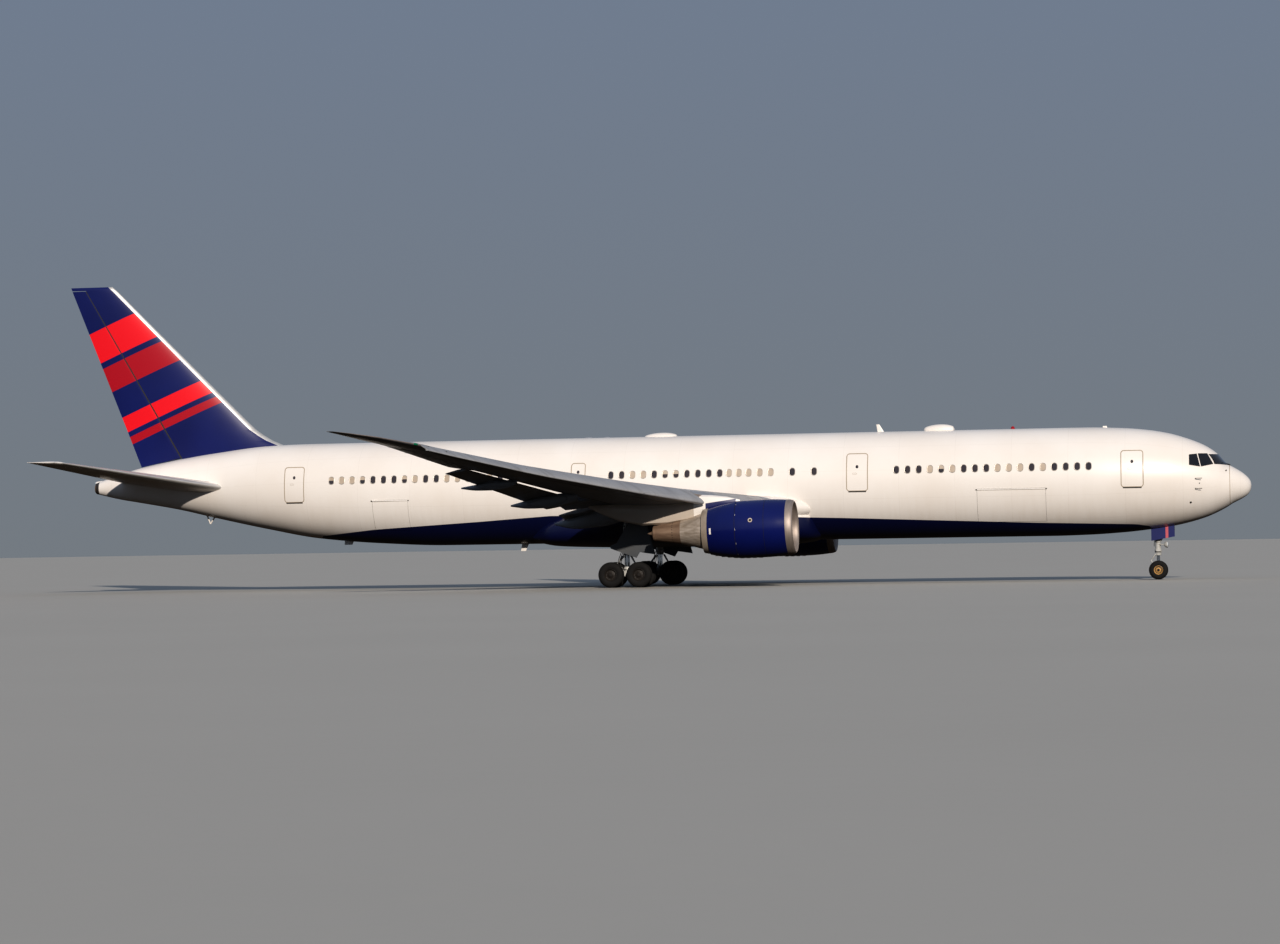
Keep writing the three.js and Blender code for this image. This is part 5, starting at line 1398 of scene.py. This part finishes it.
quarter = steps(0, pi / 2, 14)
lipProfile = ([(0.36 * (1 - sin(a)), 1.22 + 0.125 * cos(a)) for a in quarter]
              + [(0.36 * (1 - cos(a)), 1.22 - 0.115 * sin(a)) for a in quarter[1:]])
for sideName, side in (("right", -1), ("left", 1)):
    place = enginePlace(side)
    prefix = sideName + "_"
    soup = newSoup()
    addSpun(soup, place, lipProfile + [lipProfile[0]])
    makePiece(prefix + "inlet_lip_ring", soup, ["lip"],
              replaces=[prefix + "inlet_lip"], sharp=60)

    # Cowl: painted skin, nozzle ring behind it, liner inside
    soup = newSoup()
    addSpun(soup, place, [rowAt(engine["cowl"], a) for a in steps(0.361, 4.18, 44)], 0)
    addSpun(soup, place, [(4.18, 1.165), (4.19, 1.13), (4.33, 1.103), (4.48, 1.07), (4.48, 1.045), (4.2, 1.08)], 1)
    # The duct wall behind the fan is black: painted shade deep in the duct
    addSpun(soup, place, [(4.2, 1.08), (3.3, 1.12), (1.75, 1.15)], 3)
    addSpun(soup, place, [(1.75, 1.15), (1.6, 1.19), (1.15, 1.19), (0.8, 1.14), (0.361, 1.105), (0.361, 1.345)], 2)
    for aft, radius in ((1.39, 1.403), (2.8, 1.3835)):  # seams between the cowls
        addSpun(soup, place, [(aft - 0.012, radius), (aft, radius + 0.003), (aft + 0.012, radius - 0.001),
                              (aft, radius - 0.01), (aft - 0.012, radius)], 3)
    makePiece(prefix + "cowl", soup, ["navy", "nozzle", "liner", "soot"],
              replaces=[prefix + "nacelle"])

    # Short white marks along a cowl seam and a plain placard
    marks = newSoup()
    spots = [(2.77, 0.006, 0.1, radians(a)) for a in range(-150, 151, 30)] + [(4.02, 0.045, 0.3, side * 1.6)]
    for aft, long, wide, angle in spots:
        half = wide / rowAt(engine["cowl"], aft)[1] / 2
        rows = [[place(a, rowAt(engine["cowl"], a)[1] + 0.005, angle + half * u) for u in (-1, -0.5, 0, 0.5, 1)]
                for a in (aft - long, aft + long)]
        addGrid(marks, rows)
    makePiece(prefix + "cowl_marks", marks, ["white"],
              openFrom=lambda c, p=place: c - p(max((p(0, 0, 0) - c).dot(p(0, 0, 0) - p(2, 0, 0)) * 2, 0), 0, 0))
    fins = newSoup()
    rows = []  # strake on the inner side
    for t in steps(0, 1, 8):
        aft, tall = 0.9 + 1.1 * t, 0.02 + 0.3 * t ** 0.7 * (1 - 0.1 * t)
        base = rowAt(engine["cowl"], aft)[1]
        angle = -side * radians(48)
        rows.append([place(aft, base - 0.01, angle - 0.012), place(aft, base + tall, angle - 0.004),
                     place(aft, base + tall, angle + 0.004), place(aft, base - 0.01, angle + 0.012)])
    addGrid(fins, rows, 0, wrap=True, caps=True)
    for aft in steps(1.75, 3.9, 7):  # latches along the bottom
        base = rowAt(engine["cowl"], aft)[1]
        addBlock(fins, place(aft, base + 0.004, pi), (0.09, 0.05, 0.012), ease=0.006, finish=1)
    angle = side * radians(73)  # pressure relief port on the outer side
    addBar(fins, place(2.02, 1.39, angle), place(2.02, 1.412, angle), 0.11, segments=24, finish=1, bevel=0.004)
    # Its dark middle is painted shade for the opening
    addBar(fins, place(2.02, 1.4, angle), place(2.02, 1.418, angle), 0.06, segments=24, finish=2, bevel=0.004)
    makePiece(prefix + "strake_and_latches", fins, ["navy", "brushed", "soot"])

    # Core: stator ring, core cowl, hot nozzle and plug
    soup = newSoup()
    # The stator ring and the wall that closes the duct are black: painted shade deep in the duct
    addSpun(soup, place, [(1.7, 0.0), (1.7, 0.4), (1.86, 0.46), (1.86, 1.149), (3.3, 1.119), (3.3, 0.94)], 2)
    addSpun(soup, place, [(3.3, 0.94)] + [rowAt(engine["coreRows"], a) for a in steps(3.34, 5.6, 18)], 0)
    addSpun(soup, place, [rowAt(engine["coreRows"], a) for a in steps(5.6, 6.98, 12)]
            + [(6.985, 0.345), (6.97, 0.33), (6.6, 0.34), (6.4, 0.34), (6.4, 0.2)], 1)
    addSpun(soup, place, [(6.4, 0.2), (6.75, 0.19), (7.0, 0.13), (7.2, 0.05), (7.28, 0.015), (7.3, 0.0)], 1)
    for aft, r in ((5.6, 0.572), (6.9, 0.372)):  # rolled bands
        addSpun(soup, place, [(aft - 0.03, r - 0.01), (aft - 0.02, r + 0.008), (aft + 0.02, r + 0.004),
                              (aft + 0.03, r - 0.02), (aft - 0.03, r - 0.01)], 1)
    # The small holes round the hot nozzle are dark discs: painted shade
    for i in range(24):  # small holes round the hot nozzle
        angle = 2 * pi * i / 24
        radius = rowAt(engine["coreRows"], 6.0)[1]
        addBar(soup, place(6.0, radius - 0.01, angle), place(6.0, radius + 0.003, angle), 0.022, segments=10,
               finish=2,
               bevel=0.001)
    for i in range(40):  # stator vanes behind the fan
        angle = 2 * pi * i / 40
        rows = [[place(1.72 + 0.13 * u, r, angle + 0.05 * u ** 2 + k * 0.006) for k, u in
                 ((-1, 0), (-1, 0.5), (-1, 1), (1, 1), (1, 0.5), (1, 0))] for r in (0.42, 0.8, 1.148)]
        addGrid(soup, rows, 3, wrap=True, caps=True)
    makePiece(prefix + "core", soup, ["brushed", "hot", "soot", "liner"],
              replaces=[prefix + "engine_core"])

    # Fan: twisted blades on a spinner with a painted spiral
    soup = newSoup()
    spinner = [(0.7 + 0.8 * (1 - cos(a)) ** 1.15, engine["hub"] * sin(a) ** 0.9) for a in steps(0, pi / 2, 16)]
    addSpun(soup, place, spinner + [(1.6, engine["hub"]), (1.6, 0.12), (1.42, 0.12), (1.42, 0.0)], 1, 48)
    for i in range(engine["blades"]):
        turn = 2 * pi * i / engine["blades"]
        rows = []
        for r in steps(engine["hub"] - 0.02, engine["tip"], 8):
            t = (r - engine["hub"]) / (engine["tip"] - engine["hub"])
            pitch = radians(30 + 34 * t)
            chord = 0.26 + 0.06 * t
            thick = 0.026 - 0.018 * t
            ring = []
            for a in steps(0, 2 * pi, 12)[:-1]:
                c, w = 0.5 * cos(a), 0.5 * sin(a) * thick
                bow = 0.03 * (1 - 4 * c * c)
                aft = 1.39 + c * chord * cos(pitch) - (w + bow) * sin(pitch)
                aside = c * chord * sin(pitch) + (w + bow) * cos(pitch)
                ring.append(place(aft, sqrt(max(r * r - aside * aside, 0.01)) if r < 0.3 else r,
                                  turn + aside / max(r, 0.3)))
            rows.append(ring)
        addGrid(soup, rows, 0, wrap=True, caps=True)
    spiral = []
    for t in steps(0.12, 0.8, 40):
        row = []
        for wide in (-1, 0, 1):
            a = pi / 2 * (t + 0.012 * wide)
            row.append(place(0.7 + 0.8 * (1 - cos(a)) ** 1.15 - 0.006, engine["hub"] * sin(a) ** 0.9 + 0.004,
                             t * 9))
        spiral.append(row)
    addGrid(soup, spiral, 2)
    makePiece(prefix + "fan_blades", soup, ["titanium", "steel", "white"],
              prefix + "fan_rotor", [prefix + "fan"])
print("engines made")

# Wheels

wheelSizes = {
    "main": {"radius": 0.635, "width": 0.48, "spacing": 1.17, "rim": 0.3, "axle": 0.075, "grooves": 5},
    "nose": {"radius": 0.47, "width": 0.33, "spacing": 0.62, "rim": 0.22, "axle": 0.055, "grooves": 4},
}


def tyreProfile(size):
    radius, half, rim = size["radius"], size["width"] / 2, size["rim"]
    side = [(-0.86 * half, rim), (-0.93 * half, rim + 0.02), (-half, rim + 0.42 * (radius - rim)),
            (-0.97 * half, rim + 0.62 * (radius - rim)), (-0.86 * half, rim + 0.82 * (radius - rim)),
            (-0.72 * half, radius - 0.022), (-0.62 * half, radius - 0.008)]
    points = list(side)
    grooves = size["grooves"]
    for i in range(grooves):
        x = -0.48 * half + 0.96 * half * i / (grooves - 1)
        crown = radius - 0.01 * (x / half) ** 2
        points += [(x - 0.013, crown), (x - 0.009, crown - 0.014), (x + 0.009, crown - 0.014), (x + 0.013, crown)]
    return points + [(-x, r) for x, r in reversed(side)]


def addWheel(soup, centre, outward, size, along):
    across, up = Vector((1, 0, 0)), Vector((0, 0, 1))
    k = model["scale"]

    def spin(profile, finish, segments=80):
        rows = [ringAt(centre + along * outward * x * k, across, up, max(r, 0.0004) * k, segments)
                for x, r in profile]
        addGrid(soup, rows, finish, wrap=True)
    half, rim, axle = size["width"] / 2, size["rim"], size["axle"]
    tyre = tyreProfile(size)
    # The tyre's near-black is partly painted shade
    spin(tyre + [(0.6 * half, rim - 0.02), (-0.6 * half, rim - 0.02), tyre[0]], 0)
    # Hub: rim flange, dished web with bosses, cap on the outside, brake drum within
    spin([(0.87 * half, rim + 0.012), (0.9 * half, rim - 0.005), (0.78 * half, rim - 0.02),
          (0.5 * half, rim - 0.045),
          (0.42 * half, 0.72 * rim), (0.5 * half, 0.5 * rim), (0.66 * half, 0.36 * rim), (0.7 * half, 0.3 * rim)],
         1)
    spin([(0.7 * half, 0.3 * rim), (0.78 * half, 0.26 * rim), (0.8 * half, 0.0)], 3)
    spin([(-0.87 * half, rim + 0.012), (-0.9 * half, rim - 0.005), (-0.8 * half, rim - 0.03),
          (-0.3 * half, 0.9 * rim),
          (-0.3 * half, axle)], 1)
    bolts = 10
    for i in range(bolts):
        a = 2 * pi * i / bolts
        out = cos(a) * across + sin(a) * up
        spot = centre + out * 0.66 * rim * k
        face = along * outward
        addBar(soup, spot + face * 0.4 * half * k, spot + face * (0.4 * half + 0.05) * k, 0.022, segments=6,
               finish=2,
               bevel=0.004)
        # Each hole is a dark disc: painted shade
        hole = centre + (cos(a + 0.31) * across + sin(a + 0.31) * up) * 0.82 * rim * k
        addBar(soup, hole + face * 0.44 * half * k, hole + face * (0.44 * half + 0.022) * k, 0.03, segments=12,
               finish=3, bevel=0.002)


def addWheelPair(name, body, node, size, centre, hub):
    soup = newSoup()
    along = Vector((0, 1, 0))
    k = model["scale"]
    for outward in (-1, 1):
        addWheel(soup, centre + along * outward * size["spacing"] / 2 * k, outward, size, along)
    reach = size["spacing"] / 2 + 0.3 * size["width"]
    addBar(soup, centre - along * reach * k, centre + along * reach * k, size["axle"] * 0.95, segments=24,
           finish=2)
    makePiece(name, soup, ["tyre", hub, "steel", "soot"], body, [node])


gearPlace = {"side": 4.65, "station": 30.68, "wheelbase": 1.42, "wheelHeight": model["ground"] + 0.635}
for sideName, side in (("right", -1), ("left", 1)):
    for end, name in ((-1, "front"), (1, "rear")):
        centre = at(gearPlace["station"] + end * gearPlace["wheelbase"] / 2, side * gearPlace["side"],
                    gearPlace["wheelHeight"])
        # The main hubs' dark paint is brake dust and painted shade
        addWheelPair(f"{sideName}_{name}_wheel_pair", f"{sideName}_{name}_wheels",
                     f"{sideName}_main_wheels_{name}",
                     wheelSizes["main"], centre, "hub")
noseGear = {
    "station": 4.62, "wheelHeight": model["ground"] + 0.47, "legBottom": -3.62,
    "cylinder": [(0, 0.13), (0.01, 0.17), (0.16, 0.17), (0.2, 0.135), (0.5, 0.13), (0.53, 0.155), (0.66, 0.155),
                 (0.7, 0.13), (1.7, 0.13)],
    "lampShell": [(0, 0.06), (0.06, 0.13), (0.14, 0.155), (0.16, 0.155)],
    "lampGlass": [(0, 0.145), (0.02, 0.14), (0.045, 0.08), (0.05, 0.0)],
    "foot": [(0, 0.11), (0.16, 0.11), (0.26, 0.095), (0.3, 0.085)],
}
addWheelPair("nose_wheel_tyres", "nose_wheel_pair", "nose_wheels", wheelSizes["nose"],
             at(noseGear["station"], 0, noseGear["wheelHeight"]), "noseHub")
print("wheels made")

# Main gear legs


# Two tapering arms that meet at a pin, as a torque link
def addLink(soup, foot, apex, spread, across, thick):
    k = model["scale"]
    for end in (-1, 1):
        addBar(soup, foot + across * spread * end * k, apex + across * 0.03 * end * k, thick, thick * 0.7, 10)
    addBar(soup, foot - across * (spread + 0.04) * k, foot + across * (spread + 0.04) * k, thick * 1.15,
           segments=14)
    addBar(soup, apex - across * 0.07 * k, apex + across * 0.07 * k, thick * 0.95, segments=14)


# Places are metres aft of the leg, outboard of it and above the fuselage's middle.
# Profiles are distance and radius.
mainLeg = {
    "cylinder": (-3.36, -1.25, [(0, 0.17), (0.01, 0.2), (0.12, 0.2), (0.14, 0.235), (0.26, 0.235), (0.3, 0.19),
                                (0.9, 0.185), (0.94, 0.21), (1.1, 0.21), (1.14, 0.19), (2.11, 0.19)]),
    "piston": (-3.2, [(0, 0.135), (0.5, 0.135), (1.1, 0.135)]),
    "foot": [(0, 0.2), (0.2, 0.2), (0.34, 0.17), (0.4, 0.15)],
    "beam": [(0, 0.1), (0.02, 0.13), (0.3, 0.14), (0.6, 0.115), (1.06, 0.115), (1.36, 0.14), (1.64, 0.13),
             (1.66, 0.1)],
    "brake": [(0, 0.14), (0.01, 0.2), (0.04, 0.22), (0.1, 0.22), (0.12, 0.2), (0.16, 0.19)],
    "links": [((0.22, 0, -3.42), (0.52, 0, -3.79)), ((0.15, 0, -4.13), (0.52, 0, -3.79))],
    "braces": [  # side brace, drag brace and their pins: start, end, radius, end radius
        ((0, -0.1, -2.95), (0, -0.8, -2.43), 0.09, 0.075), ((0, -0.78, -2.44), (0, -1.6, -1.86), 0.07, 0.085),
        ((-0.08, -0.8, -2.43), (0.08, -0.8, -2.43), 0.1, 0.1), ((-0.1, 0, -3.0), (-0.75, 0, -2.1), 0.085, 0.07),
        ((-0.72, 0, -2.14), (-1.3, 0, -1.35), 0.065, 0.08),
        ((-0.75, -0.1, -2.1), (-0.75, 0.1, -2.1), 0.095, 0.095)],
    "doorArms": (-2.0, -2.9), "hoses": (0.1, -0.06, 0.02), "hoseRadius": 0.016,
}
# The plate outboard of each leg: corners as station and height, faces as distance from the leg
gearDoor = {
    "outline": [(30.35, -1.61), (29.5, -1.8), (29.08, -3.32), (29.87, -3.2), (30.04, -3.48), (31.32, -3.01),
                (31.38, -2.88), (31.03, -2.72)],
    "sides": (0.9, 0.95),
}
across = Vector((0, 1, 0))
for sideName, side in (("right", -1), ("left", 1)):
    def legAt(aft, aside, height):
        return at(gearPlace["station"] + aft, side * (gearPlace["side"] + aside), height)
    low, base = gearPlace["wheelHeight"], gearPlace["wheelbase"] / 2
    soup = newSoup()
    bottom, top, profile = mainLeg["cylinder"]
    addTurned(soup, legAt(0, 0, bottom), legAt(0, 0, top), profile, 36, 0)
    top, profile = mainLeg["piston"]
    addTurned(soup, legAt(0, 0, low), legAt(0, 0, top), profile, 32, 1)
    addBar(soup, legAt(0, -0.2, low + 0.05), legAt(0, 0.2, low + 0.05), 0.17, segments=28)
    addTurned(soup, legAt(0, 0, low), legAt(0, 0, low + 0.45), mainLeg["foot"], 28, 0)
    addTurned(soup, legAt(-base - 0.12, 0, low), legAt(base + 0.12, 0, low), mainLeg["beam"], 28, 0)
    for end in (-1, 1):
        addBar(soup, legAt(end * base, -0.3, low), legAt(end * base, 0.3, low), 0.075, segments=24, finish=2)
        for out in (-1, 1):  # brake packs between beam and wheel
            addTurned(soup, legAt(end * base, out * 0.17, low), legAt(end * base, out * 0.33, low),
                      mainLeg["brake"], 28, 2)
            for i in range(6):
                a = i * pi / 3
                spot = legAt(end * base + 0.17 * cos(a), out * 0.15, low + 0.17 * sin(a))
                addBar(soup, spot, spot + across * side * out * 0.02, 0.03, segments=10, finish=0)
        addBar(soup, legAt(end * base, 0.12, low + 0.1), legAt(0, 0.16, low + 0.22), 0.025, segments=10, finish=2)
    for foot, apex in mainLeg["links"]:
        addLink(soup, legAt(*foot), legAt(*apex), 0.13, across, 0.045)
    for start, end, radius, endRadius in mainLeg["braces"]:
        addBar(soup, legAt(*start), legAt(*end), radius, endRadius, 16)
    addBar(soup, legAt(-0.2, 0.1, -3.35), legAt(-0.62, 0.1, low + 0.2), 0.05, 0.035, 14)  # truck positioner
    for height in mainLeg["doorArms"]:
        addBar(soup, legAt(0, 0.12, height), legAt(0, 0.905, height), 0.045, 0.035, 14)
    for k, aft in enumerate(mainLeg["hoses"]):
        hose = [legAt(aft + 0.12, 0.14, -1.6), legAt(aft + 0.16, 0.19, -2.3), legAt(aft + 0.15, 0.2, -3.1),
                legAt(aft + 0.3, 0.24, -3.6), legAt(aft + 0.28, 0.2, -4.0),
                legAt((-1) ** k * 0.5, 0.16, low + 0.16)]
        addTube(soup, smoothPath(hose), mainLeg["hoseRadius"], 8, 3)
    panel = newSoup()
    addGrid(panel, [[legAt(s - gearPlace["station"], y, z) for s, z in gearDoor["outline"]]
                    for y in gearDoor["sides"]],
            wrap=True, caps=True)
    # The door's dark grey paint is painted shade
    makePiece(sideName + "_main_gear_door_panel", panel, ["gearDoor"],
              replaces=[sideName + "_main_gear_door"])
    makePiece(sideName + "_main_gear_strut", soup, ["gear", "chrome", "steel", "blackRubber"],
              replaces=[sideName + "_main_gear_leg"])

# Nose gear


def noseAt(aft, side, height):
    return at(noseGear["station"] + aft, side, height)


soup = newSoup()
bottom = noseGear["legBottom"]
addTurned(soup, noseAt(0, 0, bottom), noseAt(0, 0, -1.91), noseGear["cylinder"], 32)
for side in (-1, 1):
    addBar(soup, noseAt(-0.1, 0.1 * side, -3.05), noseAt(-0.75, 0.16 * side, -1.99), 0.05, 0.055, 14)
    addBar(soup, noseAt(0, 0.1 * side, -2.1), noseAt(0, 0.38 * side, -2.1), 0.07, segments=16)
    addBar(soup, noseAt(0.1, 0.2 * side, bottom + 0.1), noseAt(-0.14, 0.2 * side, bottom + 0.1), 0.045,
           segments=14)
    lamp = noseAt(-0.3, 0.19 * side, -3.22)
    addTurned(soup, lamp, lamp + Vector((0.1, 0, 0)), noseGear["lampShell"], 24, 0)
    addTurned(soup, lamp + Vector((0.078, 0, 0)), lamp + Vector((0.2, 0, 0)), noseGear["lampGlass"], 24, 2)
    addBar(soup, noseAt(0, 0.1 * side, -3.2), lamp, 0.03, segments=10)
addBar(soup, noseAt(-0.72, -0.22, -1.99), noseAt(-0.72, 0.22, -1.99), 0.05, segments=14)
addTube(soup, smoothPath([noseAt(0.14, 0.05, -2.1), noseAt(0.17, 0.06, -2.8), noseAt(0.2, 0.08, -3.3)]),
        0.015, 8, 3)
makePiece("nose_gear_strut", soup, ["gear", "chrome", "lens", "blackRubber"],
          replaces=["nose_gear_leg"])

soup = newSoup()
low = noseGear["wheelHeight"]
addTurned(soup, noseAt(0, 0, low), noseAt(0, 0, -3.31), [(0, 0.08), (0.6, 0.08), (1.16, 0.08)], 28, 1)
addBar(soup, noseAt(0, 0, bottom - 0.13), noseAt(0, 0, bottom - 0.012), 0.155, segments=28)
addBar(soup, noseAt(0, -0.14, low), noseAt(0, 0.14, low), 0.1, segments=28)
addTurned(soup, noseAt(0, 0, low), noseAt(0, 0, low + 0.4), noseGear["foot"], 28)
addLink(soup, noseAt(0.15, 0, bottom - 0.08), noseAt(0.36, 0, -4.01), 0.08, across, 0.032)
addLink(soup, noseAt(0.1, 0, low + 0.1), noseAt(0.36, 0, -4.01), 0.08, across, 0.032)
addBlock(soup, noseAt(-0.11, 0, -4.2), (0.1, 0.05, 0.05), ease=0.012)
addBar(soup, noseAt(-0.17, -0.06, -4.2), noseAt(-0.17, 0.06, -4.2), 0.03, segments=16, finish=2)
makePiece("nose_gear_steered", soup, ["gear", "chrome", "steel"], "nose_steering",
          ["nose_gear_steering"])
print("landing gear made")

# Stage, light and camera

floorSoup = newSoup()
addGrid(floorSoup, [[Vector((x, y, -0.002)) for x in (-900, 900)] for y in (-900, 2500)])
floor = addObject("floor", meshFrom("floor", floorSoup, ["floor"]))
floor.visible_diffuse = False  # the floor shows and takes shadows, but throws little light up
floor.visible_glossy = False

light = {"elevation": 21.5, "forward": 19, "strength": 2.95, "colour": "#fff4e8", "size": 1.0, "sky": "#747a80",
         "skyHigh": "#6f7c90", "ground": "#241f1a", "skyStrength": 1.0}
sunData = bpy.data.lights.new("low sun", "SUN")
sunData.energy = light["strength"]
sunData.color = linear(light["colour"])[:3]
sunData.angle = radians(light["size"])
sun = addObject("low sun", sunData)
rise, swing = radians(light["elevation"]), radians(light["forward"])
sunward = Vector((sin(swing) * cos(rise), -cos(swing) * cos(rise), sin(rise)))
sun.rotation_euler = sunward.to_track_quat("Z", "Y").to_euler()

world = bpy.data.worlds.new("soft sky")
bpy.context.scene.world = world
world.use_nodes = True
tree = world.node_tree
upward = addNode(tree, "ShaderNodeSeparateXYZ", {0: addNode(tree, "ShaderNodeTexCoord", output=0)}, output=2)
skyMix = addNode(tree, "ShaderNodeMapRange", {"Value": upward, "From Min": 0.0, "From Max": 0.25})
skyColour = addNode(tree, "ShaderNodeMix", {0: skyMix, 6: linear(light["sky"]), 7: linear(light["skyHigh"])},
                    output=2, data_type="RGBA")
overGround = addNode(tree, "ShaderNodeMapRange", {"Value": upward, "From Min": -0.02, "From Max": 0.0})
skyColour = addNode(tree, "ShaderNodeMix", {0: overGround, 6: linear(light["ground"]), 7: skyColour}, output=2,
                    data_type="RGBA")
tree.links.new(skyColour, tree.nodes["Background"].inputs["Color"])
tree.nodes["Background"].inputs["Strength"].default_value = light["skyStrength"]

view = {"place": (-1.108, -161.303, -2.95), "turn": -10.439, "tilt": 1.3466, "roll": -0.8676, "lens": 89.83}
cameraData = bpy.data.cameras.new("camera")
cameraData.lens = view["lens"]
cameraData.sensor_width = 36
cameraData.clip_end = 4000
camera = addObject("camera", cameraData)
turn, tilt, roll = [radians(view[k]) for k in ("turn", "tilt", "roll")]
ahead = Vector((sin(turn) * cos(tilt), cos(turn) * cos(tilt), sin(tilt)))
right0 = Vector((cos(turn), -sin(turn), 0))
up0 = right0.cross(ahead)
right = right0 * cos(roll) + up0 * sin(roll)
above = up0 * cos(roll) - right0 * sin(roll)
spot = at(-view["place"][0], view["place"][1], view["place"][2])
camera.matrix_world = Matrix((
    (right.x, above.x, -ahead.x, spot.x), (right.y, above.y, -ahead.y, spot.y),
    (right.z, above.z, -ahead.z, spot.z), (0, 0, 0, 1)))
bpy.context.scene.camera = camera
bpy.context.scene.view_settings.view_transform = "Standard"
bpy.context.scene.view_settings.look = "Medium High Contrast"
print("stage, light and camera set")
